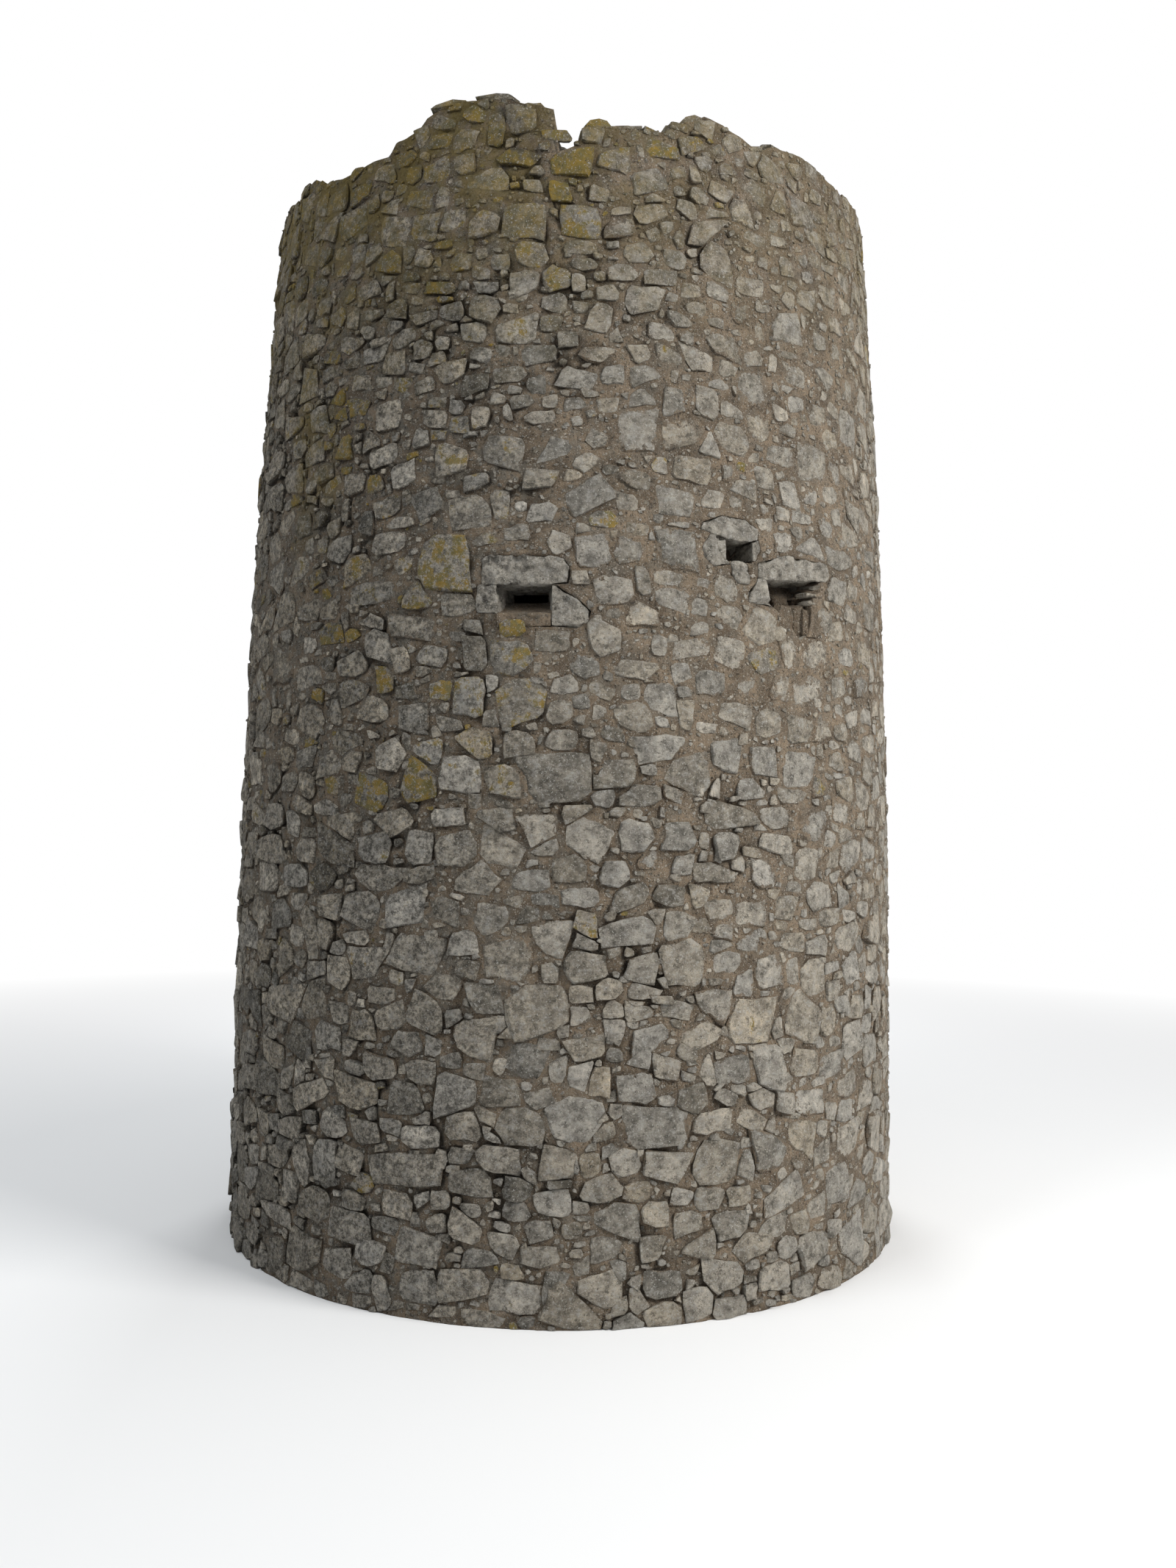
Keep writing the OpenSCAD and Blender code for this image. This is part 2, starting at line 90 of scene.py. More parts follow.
# %% Light the tower
def area_light(name, place, size, power, tint):
    """A square lamp at the given place that faces the middle of the tower."""
    data = bpy.data.lights.new(name, "AREA")
    data.size = size
    data.energy = power
    data.color = tint
    lamp = bpy.data.objects.new(name, data)
    lamp.location = place
    lamp.rotation_euler = (Vector((0, 0, 5)) - Vector(place)).to_track_quat("-Z", "Y").to_euler()
    bpy.context.scene.collection.objects.link(lamp)
    return lamp


bpy.context.scene.view_settings.view_transform = "Standard"
area_light("bright_sky_right", (15, -9, 13), 8, 3700, (1.0, 0.985, 0.96))
area_light("weak_sky_left", (-9, -11, 17), 8, 1450, (0.95, 0.98, 1.0))
area_light("weak_sky_behind", (-2, 17, 12), 8, 1500, (0.97, 0.99, 1.0))
world = bpy.data.worlds.new("overcast")
bpy.context.scene.world = world
world.use_nodes = True
sky = world.node_tree.nodes["Background"]
sky.inputs["Color"].default_value = (0.93, 0.96, 1.0, 1)
sky.inputs["Strength"].default_value = 0.40
white = world.node_tree.nodes.new("ShaderNodeBackground")
white.inputs["Color"].default_value = (1, 1, 1, 1)
white.inputs["Strength"].default_value = 1.0
choice = world.node_tree.nodes.new("ShaderNodeMixShader")


def camera_share(tree):
    """1 for rays from the camera, and for those that gloss and glass send on; 0 for all others."""
    ray = tree.nodes.new("ShaderNodeLightPath")
    total = ray.outputs["Is Camera Ray"]
    for kind in ("Is Glossy Ray", "Is Transmission Ray"):
        either = tree.nodes.new("ShaderNodeMath")
        either.operation = "MAXIMUM"
        tree.links.new(total, either.inputs[0])
        tree.links.new(ray.outputs[kind], either.inputs[1])
        total = either.outputs[0]
    return total


join = world.node_tree.links.new
join(camera_share(world.node_tree), choice.inputs["Fac"])
join(sky.outputs[0], choice.inputs[1])
join(white.outputs[0], choice.inputs[2])
join(choice.outputs[0], world.node_tree.nodes["World Output"].inputs["Surface"])

# %% [markdown]
# The tower stands on a plain pale floor, a flat disc wide enough to reach past the frame on every side. Away
# from the tower it fades to the background's white, for the camera alone, so the shadow stays and no edge
# shows.

# %% Lay the floor
def disc(name, radius, corners):
    """A flat n-cornered plate: corner k lies at the angle 2 pi k / n on a circle, and one face joins them."""
    turn = np.arange(corners) * 2 * np.pi / corners
    points = np.column_stack([radius * np.cos(turn), radius * np.sin(turn), np.zeros(corners)])
    mesh = bpy.data.meshes.new(name)
    mesh.from_pydata(points.tolist(), [], [list(range(corners))])
    plate = bpy.data.objects.new(name, mesh)
    bpy.context.scene.collection.objects.link(plate)
    return plate


def white_beyond(finish, near, far):
    """Mixes plain white into a finish for the camera, gloss and glass: none at near, all at far."""
    tree = finish.node_tree
    place = tree.nodes.new("ShaderNodeTexCoord")
    reach_out = tree.nodes.new("ShaderNodeVectorMath")
    reach_out.operation = "LENGTH"
    fade = tree.nodes.new("ShaderNodeMapRange")
    fade.inputs["From Min"].default_value = near
    fade.inputs["From Max"].default_value = far
    share = tree.nodes.new("ShaderNodeMath")
    share.operation = "MULTIPLY"
    glow = tree.nodes.new("ShaderNodeEmission")
    blend = tree.nodes.new("ShaderNodeMixShader")
    tree.links.new(place.outputs["Object"], reach_out.inputs[0])
    tree.links.new(reach_out.outputs["Value"], fade.inputs["Value"])
    tree.links.new(fade.outputs[0], share.inputs[0])
    tree.links.new(camera_share(tree), share.inputs[1])
    tree.links.new(share.outputs[0], blend.inputs["Fac"])
    tree.links.new(tree.nodes["Principled BSDF"].outputs[0], blend.inputs[1])
    tree.links.new(glow.outputs[0], blend.inputs[2])
    tree.links.new(blend.outputs[0], tree.nodes["Material Output"].inputs["Surface"])


floor = disc("floor", 90, 96)
floor_finish = bpy.data.materials.new("pale_floor")
floor_finish.use_nodes = True
floor_finish.node_tree.nodes["Principled BSDF"].inputs["Base Color"].default_value = (0.84, 0.84, 0.84, 1)
floor_finish.node_tree.nodes["Principled BSDF"].inputs["Roughness"].default_value = 0.9
white_beyond(floor_finish, 7, 22)
floor.data.materials.append(floor_finish)

# %% [markdown]
# The wall is a drum that leans in slightly faster and faster with height, so it is described by one formula.
# A place on it is written as the distance round the base and the height, as on an unrolled drawing of the
# wall. The broken top is a line over the angle: how far the parapet has crumbled at each point, as a share
# of half a metre.

# %% Describe the wall
BASE_R = 3.2
BATTER = 0.32
BATTER_POWER = 2.5
TOWER_H = 9.8
CRUMBLED = 0.5
FLOOR_LINE = 4.3
PARAPET_FOOT = 8.2
PARAPET_T = 0.55
PARAPET_INNER_R = BASE_R - BATTER * (PARAPET_FOOT / TOWER_H) ** BATTER_POWER - PARAPET_T
LAP = 2 * math.pi * BASE_R
SECTORS = ["front", "front_right", "right", "back_right", "back", "back_left", "left", "front_left"]
BROKEN_TOP = np.array([
    [-180, .44], [-172, .38], [-166, .80], [-159, .76], [-156, .24], [-148, .18], [-138, .34], [-136, .64],
    [-125, .58], [-121, .30], [-113, .16], [-103, .12], [-99, .48], [-88, .52], [-84, .26], [-72, .22],
    [-65, .28], [-58, .36], [-54, .52], [-51, .32], [-46, .40], [-43, .62], [-37, .70], [-26, .66],
    [-24.5, .48], [-20, .34], [-18.5, .16], [-13, 0], [-7, .02], [-1, .20], [3, .28], [4, .98], [6.5, .88],
    [8.5, .54], [21, .54], [23, .38], [28, .12], [32, .20], [38, .40], [43, .22], [52, .20], [62, .30],
    [67, .22], [74, .12], [84, .22], [93, .16], [97, .52], [106, .60], [112, .38], [124, .32], [128, .62],
    [140, .66], [144, .30], [157, .18], [161, .40], [172, .48], [180, .44]])


def face_r(height):
    """The wall's radius: the base radius less the batter times (height / full height) to the power 2.5."""
    return BASE_R - BATTER * np.clip(np.asarray(height) / TOWER_H, 0, None) ** BATTER_POWER


def crest(degrees):
    """The height of the broken top: the full height less half a metre times the share read off the line."""
    degrees = (np.asarray(degrees) + 180) % 360 - 180
    return TOWER_H - CRUMBLED * np.interp(degrees, BROKEN_TOP[:, 0], BROKEN_TOP[:, 1])


def on_ring(turn, radius, height):
    """The point at an angle, a distance r from the axis and a height: (r sin, -r cos, height)."""
    return np.stack(np.broadcast_arrays(radius * np.sin(turn), -radius * np.cos(turn), height), axis=-1)


def on_wall(along, height, proud):
    """The point at a distance round the base and a height, moved outwards from the face by proud."""
    return on_ring(np.asarray(along) / BASE_R, face_r(height) + proud, height)


def on_parapet_inside(along, height, proud):
    """The same for the parapet's inner face, where proud is measured towards the axis."""
    return on_ring(-np.asarray(along) / PARAPET_INNER_R, PARAPET_INNER_R - proud, height)


print("wall:", round(LAP, 2), "m round the base, radius at the top", round(float(face_r(TOWER_H)), 3), "m")

# %% [markdown]
# Stone is never quite flat, so most shapes here get bumps of several sizes. Random heights on the corners of
# a lattice with a smooth blend between them give bumps that are the same on every run and join up round the
# whole tower.

# %% Make smooth bumps
def bumps(points, size, seed=0):
    """A random height from -1 to 1 at every lattice corner, blended in each direction by 3t^2 - 2t^3."""
    grid = np.asarray(points) / size
    cell = np.floor(grid).astype(np.int64)
    part = grid - cell
    ease = part * part * (3 - 2 * part)
    total = np.zeros(grid.shape[:-1])
    for corner in range(8):
        step = np.array([corner & 1, corner >> 1 & 1, corner >> 2])
        at = cell + step
        code = (at[..., 0] * 73856093) ^ (at[..., 1] * 19349663) ^ (at[..., 2] * 83492791) ^ (seed * 40503)
        code = ((code ^ (code >> 13)) * 1274126177) & 0x7FFFFFFF
        height = ((code ^ (code >> 16)) & 0xFFFF) / 32767.5 - 1
        total += np.prod(np.where(step == 1, ease, 1 - ease), axis=-1) * height
    return total


def between(value, low, high):
    """A smooth step: 0 below low, 1 above high, 3t^2 - 2t^3 in between."""
    t = np.clip((value - low) / (high - low), 0, 1)
    return t * t * (3 - 2 * t)


def mesh_from(name, points, corners, starts):
    """A mesh from one array of points, one of face corners and one that says where each face starts in it."""
    mesh = bpy.data.meshes.new(name)
    mesh.vertices.add(len(points))
    mesh.vertices.foreach_set("co", np.ascontiguousarray(points, dtype=np.float32).ravel())
    mesh.loops.add(len(corners))
    mesh.loops.foreach_set("vertex_index", np.ascontiguousarray(corners, dtype=np.int32))
    mesh.polygons.add(len(starts))
    mesh.polygons.foreach_set("loop_start", np.ascontiguousarray(starts, dtype=np.int32))
    mesh.update(calc_edges=True)
    mesh.validate()
    return mesh


def grid_faces(rows, columns, closed):
    """The corners of every square between rows of points; closed joins the last column to the first."""
    a, b = np.meshgrid(np.arange(rows - 1), np.arange(columns if closed else columns - 1), indexing="ij")
    here, above = a * columns, (a + 1) * columns
    after = (b + 1) % columns
    return np.stack([here + b, here + after, above + after, above + b], axis=-1).reshape(-1, 4)


def repeated(faces, number, size):
    """The corners and starts of one shape's faces, for number shapes of size points each."""
    corners = np.concatenate(faces)
    starts = np.concatenate([[0], np.cumsum([len(face) for face in faces])[:-1]])
    each = np.arange(number)[:, None]
    return (corners + each * size).ravel(), (starts + each * len(corners)).ravel()


def vertex_places(mesh):
    """All of a mesh's vertices as rows of an array."""
    points = np.empty(len(mesh.vertices) * 3, dtype=np.float32)
    mesh.vertices.foreach_get("co", points)
    return points.reshape(-1, 3).astype(float)


def face_middles(mesh):
    """The middle of each of a mesh's faces, as rows of an array."""
    middles = np.empty(len(mesh.polygons) * 3, dtype=np.float32)
    mesh.polygons.foreach_get("center", middles)
    return middles.reshape(-1, 3)


def note(mesh, name, values):
    """Keeps one number for each vertex under a name that a material can read."""
    layer = mesh.attributes.new(name, "FLOAT", "POINT")
    layer.data.foreach_set("value", np.ascontiguousarray(values, dtype=np.float32))


def finish_piece(name, mesh, finishes, sharp=35):
    """Puts a mesh in the scene as a piece of the tower, smooth but for edges sharper than the given angle."""
    piece = bpy.data.objects.new(name, mesh)
    bpy.context.scene.collection.objects.link(piece)
    mesh.shade_smooth()
    mesh.set_sharp_from_angle(angle=math.radians(sharp))
    for finish in finishes:
        mesh.materials.append(finish)
    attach(piece, "root")
    return piece

# %% [markdown]
# The wall's stones come in every size, so a mason would never find this wall in a pattern book. The largest
# and the clearest stones were surveyed one by one on the unrolled front of the wall, as an architect draws a
# rubble wall: angle in degrees; height on the wall, width and height of the stone in centimetres; lean in
# degrees; and how much ochre lichen it has, from 0 to 9. The rest of the wall is filled round them with
# stones of the same sizes.

# %% Survey of the front
SURVEY_NOTES = """
-2.1 953 27 23 0 2; -6.2 946 17 29 0 6; 25.8 942 27 12 0 6; 31 942 29 9 0 5; -11.4 940 23 19 0 5;
41.3 940 31 19 0 4; 52.7 936 22 17 0 0; 20.7 932 31 15 0 7; 58.5 930 23 19 0 4; 63 930 23 14 0 0;
-26.2 928 27 12 0 4; 27.5 927 19 12 0 1; -42 925 31 19 0 3; -3.8 922 60 8 4 8; -37.9 921 35 23 0 4;
12.7 919 31 17 0 6; 53 919 31 8 0 0; -16.2 917 29 19 0 6; 6.2 915 37 23 5 9; 43 914 17 22 0 0;
37.5 913 29 23 0 0; 48.2 913 38 27 0 0; 57.8 909 27 12 0 0; -22.7 907 17 12 0 3; 31 907 27 15 0 0;
18.2 905 35 17 0 1; -7.6 902 42 15 0 6; 64 902 31 19 0 0; 51.6 898 35 19 0 0; -19 896 31 15 0 5;
44.1 896 15 12 0 0; -33.1 894 35 23 0 6; -24.8 894 23 14 0 3; 47.5 892 17 9 0 0; 56.5 892 38 8 0 0;
4.1 890 19 19 0 9; 10.3 889 19 14 0 2; 24.4 887 19 14 0 0; 29.6 887 29 6 5 0; -50.6 886 15 9 0 0;
-45.1 884 31 15 0 0; 42.4 879 25 11 -8 0; 68.9 878 31 19 0 0; 18.6 877 31 14 10 0; 55.5 877 23 9 0 0;
-40 875 27 17 0 1; 13.8 875 17 9 0 0; 37.2 875 23 14 0 0; 62 875 31 17 0 0; -23.4 873 35 27 0 3;
-13 873 25 19 0 5; -17.9 871 29 23 0 5; 48.2 871 15 12 0 0; -7.6 867 29 23 0 5; -1.3 867 42 29 0 5;
27.5 867 29 23 0 0; 7.7 865 37 27 0 7; -31 863 19 15 0 2; 13.8 861 31 15 0 1; -48.2 859 31 19 0 2;
44.1 859 21 17 0 0; -34.8 855 23 12 0 7; 35.8 855 12 6 0 0; 38.6 855 15 9 0 0; -14.5 853 19 8 0 8;
55.1 851 32 22 0 0; 29.6 846 31 31 0 2; 45.1 845 15 8 0 0; -53 844 35 22 0 1; -17.9 844 19 14 0 3;
22.4 841 22 14 0 0; 0 838 27 19 0 6; 41.3 837 17 8 0 0; -57.9 836 31 22 0 1; -11 836 19 14 0 6;
-4.8 834 19 12 0 4; 35.8 832 32 17 0 0; -20 830 19 9 0 5; -39.3 828 23 14 0 1; -32.4 828 19 15 0 6;
57.2 828 23 17 0 0; 68.2 828 35 22 0 0; 14.1 825 29 14 0 0; -20 821 23 9 0 5; 29.6 821 23 17 0 0;
-45.8 819 17 12 0 7; 3.8 818 27 19 0 6; -14.5 817 32 11 -8 8; 38.2 816 19 9 0 0; 7.1 815 17 14 0 1;
-35.1 813 22 14 0 7; -6.9 813 23 12 0 2; 33.7 807 21 17 0 0; -27.2 806 25 9 0 1; -22.1 805 23 14 0 1;
11.6 805 19 14 0 2; 17.2 805 31 22 0 1; 43.7 805 38 29 0 0; 51.6 805 23 17 0 0; 25.8 803 22 12 0 0;
56.5 803 19 14 0 0; -50.3 798 38 19 0 1; -41.3 798 35 17 0 2; -12.4 796 23 14 0 1; -17.2 794 27 9 0 1;
-3.5 794 19 8 0 1; 37.5 793 19 15 0 0; -31.7 786 31 12 -8 6; -46.5 782 23 17 0 2; 3.1 782 22 15 0 6;
44.1 782 29 6 3 0; 48.8 782 23 5 0 0; -24.8 780 23 9 -10 0; -20.7 780 23 12 0 2; -35.5 778 31 12 -10 7;
20.3 778 27 15 0 0; -8.6 777 22 17 0 5; -2.1 775 35 19 0 5; 24.1 775 17 14 0 0; 30.3 775 31 19 0 0;
61.3 775 35 22 0 0; 39.8 771 9 19 0 0; -26.2 770 31 13 -5 0; -13.8 769 12 14 0 0; 35.8 769 22 15 0 0;
-17.2 767 19 15 0 1; 44.8 766 32 19 0 0; -22.1 759 23 19 0 1; -7.6 759 23 12 0 3; -14.5 757 19 12 0 6;
10.3 757 38 11 5 0; 1.4 756 29 15 0 1; -54.4 752 35 22 0 1; 55.1 747 25 9 0 0; 22 744 8 11 0 0;
35.8 744 35 32 0 0; 67.8 744 38 23 0 0; 45.1 741 22 14 0 0; -33.8 740 22 9 -5 9; -2.8 740 29 14 0 1;
12.4 740 22 15 0 0; 50.3 738 23 19 0 0; 60.6 738 37 35 0 0; -24.5 736 15 9 0 4; -16.5 736 23 12 0 1;
6.9 736 32 15 0 1; -8.3 734 27 14 0 1; -46.5 732 42 17 0 5; -38.6 728 27 22 0 1; -28.9 728 23 14 0 8;
41.3 728 19 14 0 0; -32.7 725 22 8 0 9; 9 725 17 12 0 0; 27.5 725 22 27 5 0; 31 722 29 10 -5 0;
-14.1 721 17 11 0 5; 53.7 721 27 17 0 0; 3.3 719 13 13 0 0; -0.4 718 27 9 0 0; -11 717 12 12 0 0;
7.2 716 23 9 0 0; 42.6 716 23 12 0 0; -22.7 715 29 25 0 3; 36.5 712 27 25 0 0; -14.5 709 23 14 0 0;
-7.3 707 15 19 0 5; -53 705 35 22 0 1; 1.7 705 27 11 0 1; -35.8 702 19 8 0 8; 31.7 700 35 22 0 0;
-39.3 698 31 19 0 1; 23.1 698 38 23 0 0; 59.2 698 35 15 0 0; 67.5 698 35 22 0 0; -31 696 15 23 0 8;
-13.8 696 17 14 0 6; 16.2 696 37 35 0 3; -16.5 694 19 15 0 2; 48.2 694 40 35 0 0; 41 692 31 19 0 0;
10.3 688 19 14 0 0; -45.5 682 35 22 0 1; -23.4 682 31 15 0 1; 4.7 680 25 15 10 0; -3.5 678 37 25 0 5;
-31 675 14 8 0 9; -11.4 673 31 25 0 6; 37.5 671 22 17 0 0; 53 671 27 17 0 0; 24.8 669 37 23 0 0;
-19.6 665 27 19 0 1; -28.9 663 27 17 0 1; 47.5 663 19 12 0 0; 61.3 663 31 17 0 0; 66.1 663 35 17 0 0;
42.7 661 23 22 0 0; 33.7 659 23 15 0 0; 16.5 657 35 15 0 0; -7.6 655 23 12 0 5; 1.7 655 31 17 0 4;
41.3 645 17 15 0 0; 45.1 645 22 12 0 0; 9 641 42 17 8 2; 51.3 641 23 19 0 0; 59.2 641 31 17 0 0;
22.2 640 35 22 0 0; 14.1 639 29 15 0 0; -41.3 637 23 22 0 0; -4.2 635 19 23 0 6; 68.9 631 38 15 0 0;
-25.8 629 17 19 0 1; 2.4 629 23 15 0 0; -8.6 627 35 35 0 4; 22.5 623 23 5 0 0; 41.3 620 23 17 0 1;
47.2 620 42 11 5 0; -35.5 618 17 14 0 6; 55.4 615 46 17 8 1; -1.4 613 23 12 0 1; -31.7 610 31 19 0 2;
-21.4 610 35 19 0 1; -6.1 609 25 13 5 5; 22.4 604 36 32 0 0; -50.3 602 38 22 0 1; 15 600 22 22 0 0;
9.8 598 31 26 0 0; -27.6 593 31 19 0 6; 59.2 593 35 17 0 0; -12.3 592 44 46 0 7; 54.1 589 38 23 0 0;
47.4 581 22 5 0 0; 20.8 579 27 12 0 3; -34.5 575 17 9 0 9; 8.4 575 17 15 0 0; 30.3 575 25 22 0 0;
67.1 575 38 27 0 0; -24.5 571 46 19 0 5; -45.5 568 38 31 0 1; 12.9 568 32 26 0 0; -16 565 27 25 0 7;
-52.4 564 27 22 0 2; -33.4 559 23 14 0 0; 26 558 15 15 0 0; -9.9 557 29 22 0 1; 17.2 548 29 17 0 0;
36.8 548 31 32 0 0; -55.8 541 35 23 0 2; 63.7 541 38 23 0 1; -32.7 540 31 17 0 8; -17.1 540 42 19 0 1;
25.5 540 19 14 0 0; -27.9 538 19 9 0 9; -6.9 538 22 12 -10 0; -1.9 537 21 17 0 9; 56.5 533 27 17 0 0;
47.7 531 42 27 0 0; 11.7 529 27 23 0 0; 41.9 529 21 27 15 0; 3.9 527 31 17 0 3; 19.5 525 13 15 0 0;
24.8 525 37 15 5 0; 30.8 524 28 27 0 0; 37 520 37 19 5 6; -7 517 21 27 0 0; -45.5 516 38 23 0 3;
-13.8 516 27 15 0 5; -19.3 514 23 19 0 3; -55.5 512 35 17 0 5; -27.6 512 35 19 5 3; -1.6 512 32 31 0 6;
62.3 510 38 22 0 0; 8.6 508 27 18 0 1; 16.2 506 38 15 0 0; 54.1 506 23 19 0 0; 22.9 505 19 15 0 0;
40.3 499 29 23 0 0; 27.5 498 27 22 0 0; 33.6 498 35 19 0 0; 46.1 497 40 28 0 0; -4.8 492 12 19 0 0;
11.2 490 23 12 -10 0; 23.4 489 14 9 0 0; -35.3 488 17 14 -10 8; 15.5 487 19 14 0 0; -7.9 485 27 32 0 6;
19.8 484 27 25 0 0; 64.7 483 35 15 0 0; -0.2 480 38 35 0 6; -53.7 479 46 27 0 3; -47.2 476 25 15 0 0;
-23.4 475 31 19 0 2; 31.7 475 35 19 -5 0; 10.7 473 14 12 0 0; 5.2 472 22 19 0 0; 23.3 472 19 23 0 0;
-36.9 470 35 23 0 3; -16.2 468 29 23 0 2; 16 468 31 22 0 1; 37.5 468 29 23 0 1; 49.6 468 27 19 0 0;
54.4 466 25 17 0 0; 44.2 465 32 22 0 0; 65.4 460 35 19 0 0; 13.1 456 23 14 0 0; 59.2 450 31 14 0 0;
5.8 449 29 17 0 0; -6.9 445 31 25 0 6; 20 445 48 22 8 0; -0.4 443 25 27 0 0; 29.6 442 35 23 -5 0;
-42.4 441 23 14 0 2; -13.5 441 31 19 0 6; 52.7 441 23 14 0 0; 36.5 438 29 25 0 0; -20.3 437 27 23 0 0;
-31.7 433 29 19 0 1; -26.9 432 22 17 0 1; 43.9 432 35 29 0 0; -56.1 429 42 27 0 2; 18.2 429 15 12 0 0;
13.8 425 29 23 0 0; 23.8 425 40 27 0 0; -9 422 35 31 0 4; 68.9 422 35 23 0 0; 5.1 420 52 42 0 0;
10.5 419 8 9 0 0; -2.4 418 29 27 0 5; 48.5 418 25 15 0 7; 55.8 418 31 19 0 0; -15.2 416 32 29 0 8;
33.4 415 38 15 -5 0; -36.9 414 22 22 0 2; -30.7 414 21 17 0 8; 42.4 411 42 17 0 0; -23.4 408 37 22 5 8;
16.9 408 32 17 5 0; 11.4 405 23 15 0 0; 66.1 395 38 22 0 0; 38.6 393 32 17 0 0; 31 392 48 17 0 0;
60.9 391 25 19 0 0; -53.7 389 35 15 0 5; -46.5 389 37 22 0 2; -10.7 389 32 15 0 1; -3.8 387 31 19 5 0;
-19 386 38 17 0 2; 46.8 386 36 29 0 0; 2.6 382 28 22 0 0; 16.2 377 29 25 10 0; 22.6 377 28 25 0 0;
9.6 375 37 28 -10 0; 26.4 372 9 14 0 0; 38.9 371 38 17 0 0; 30.1 370 23 22 0 0; -14.8 366 27 29 0 1;
3.6 366 23 14 0 0; -56.5 364 38 22 0 1; -22.4 364 32 25 0 5; -9.3 364 38 25 0 2; -2.4 364 35 23 0 0;
64.7 364 38 15 0 0; -47.2 362 46 23 0 1; -30 362 46 22 0 4; 57.2 362 38 23 0 0; -36.2 360 31 22 0 2;
18 358 22 17 0 0; 52 358 31 14 0 0; 23.8 354 25 17 0 0; 45.1 354 32 27 0 0; 7.2 350 29 22 0 0;
13.4 347 22 22 0 0; 28.2 347 42 14 -5 0; 36.5 347 25 25 0 0; -13.8 343 40 17 0 1; 1.7 341 35 17 0 0;
-38.6 339 31 19 0 0; -32.4 339 35 22 0 4; -21.4 339 50 22 0 2; -6.2 339 37 21 5 0; -47.9 335 42 27 0 2;
21 330 27 17 0 0; 64.4 330 38 19 0 0; 8.3 329 31 17 0 0; 15.5 329 27 15 0 0; 25.8 328 17 19 0 0;
48.2 327 35 23 0 0; 54.4 325 27 15 0 0; 28.9 319 27 17 0 0; 40.6 319 25 19 0 0; -37.9 317 25 17 0 1;
-17.2 317 38 27 0 3; -10.7 317 23 19 0 2; 34.4 316 32 22 0 0; -30.7 315 27 22 0 1; -24.5 315 37 27 0 1;
-3.8 313 29 19 0 0; -42.7 305 35 22 0 1; -13.8 305 9 8 0 0; 45.8 305 27 9 0 0; 15.2 300 48 19 0 0;
4.5 296 27 27 0 0; 66.1 294 54 23 0 0; -7.9 292 23 19 0 0; 33.7 291 25 13 0 0; -38.6 290 27 17 0 1;
55.4 290 38 23 0 0; 47.5 286 31 15 0 0; -53.7 282 38 23 0 2; -28.9 282 19 12 0 0; -15.2 282 42 32 -8 3;
-1.4 280 40 32 0 0; 23.4 277 38 38 0 0; 30 277 29 17 0 0; 9.3 275 35 23 0 0; 17 274 25 22 0 0;
-48.2 273 31 19 0 4; -23.4 273 35 23 0 5; -7.3 269 17 22 -10 0; 37.5 267 31 27 0 0; 42.4 267 18 23 0 0;
-33.1 263 27 14 15 1; -28.6 263 27 25 0 1; 56.8 263 27 27 0 1; -11 259 32 22 0 0; 12.6 258 23 15 0 0;
17.6 257 27 12 10 0; 65.4 255 35 19 0 0; -3.8 249 35 22 10 0; -20.7 248 27 15 0 2; 51 248 31 17 0 0;
2.6 242 50 38 5 0; 22.4 241 27 14 0 3; -33.8 238 35 29 0 3; -13.5 236 32 25 0 0; -9 234 15 15 0 0;
-42 232 50 29 0 1; 34.4 230 42 38 -10 4; -19 229 32 19 0 0; 12.7 228 23 15 0 0; 44.4 228 38 35 -10 0;
59.2 228 31 23 0 0; -57.9 225 35 23 0 1; -51.7 225 35 23 0 3; -23.8 223 25 25 0 1; 49.9 223 27 27 0 0;
18.6 222 31 15 0 0; 26.2 221 35 17 0 0; -5.9 220 37 29 0 1; -46.8 217 23 19 0 1; -12.1 213 17 22 0 0;
9.6 213 31 19 15 0; -16 212 29 19 0 0; -30.3 211 32 22 0 0; -26.2 205 15 19 0 0; -37.2 203 35 29 -10 0;
1.4 203 32 29 0 0; -9 200 22 12 0 0; 20.7 198 27 17 0 0; 5.7 196 13 19 0 0; 27.2 194 15 27 0 0;
37.5 193 29 35 0 0; -5.5 192 22 17 0 0; 8.6 192 19 19 0 0; 31 192 35 22 0 0; 44.8 192 35 22 0 0;
-16.9 191 12 9 0 0; -53 190 38 22 0 1; -20.3 190 29 19 0 0; -13.8 190 29 19 0 1; 64.7 190 38 27 0 0;
11.4 188 17 25 -10 0; -44.4 186 42 23 0 0; 51 186 35 22 0 0; -30 184 37 17 0 0; 16.5 182 29 25 0 0;
-2.2 178 31 25 0 0; -8.6 177 32 28 0 0; -57.9 175 35 23 0 1; 3.1 173 25 17 0 0; 24.8 172 27 21 0 0;
20.7 171 15 12 0 0; 30.3 171 21 12 -20 0; -24.5 169 42 25 0 0; -16.2 169 28 25 0 0; 14.1 167 19 12 0 0;
36.5 167 29 17 0 0; 40.6 165 23 23 0 0; 55.4 165 37 19 0 0; -45.8 162 46 27 0 0; -34.1 161 50 17 18 0;
-52.4 159 38 22 0 1; 7.9 159 40 35 0 0; 45.8 159 42 22 -15 0; 0.7 153 37 29 0 2; 27.9 153 37 19 0 0;
19.1 152 50 31 0 1; 62.3 152 35 23 0 0; -7.6 151 27 23 0 0; 34.4 150 31 19 0 3; 50.6 148 27 15 0 2;
-28.9 140 32 19 0 0; -13.8 140 35 17 0 0; -22.7 139 29 19 0 0; 67.1 136 42 19 0 0; -38.6 130 35 19 10 0;
-7.8 129 19 12 -10 0; -53 128 42 22 0 1; -2.2 128 35 23 -8 0; 15.2 126 23 22 0 0; -47.5 125 31 22 0 0;
5.5 125 32 25 0 0; 10.3 125 17 19 0 0; 21 123 40 23 0 0; 37.9 123 38 27 0 0; 12.6 122 6 9 0 0;
28.8 122 40 35 -10 0; 56.1 119 42 27 -8 0; 65.8 117 35 35 0 0; -25.8 115 29 21 0 0; -16.2 113 69 25 0 0;
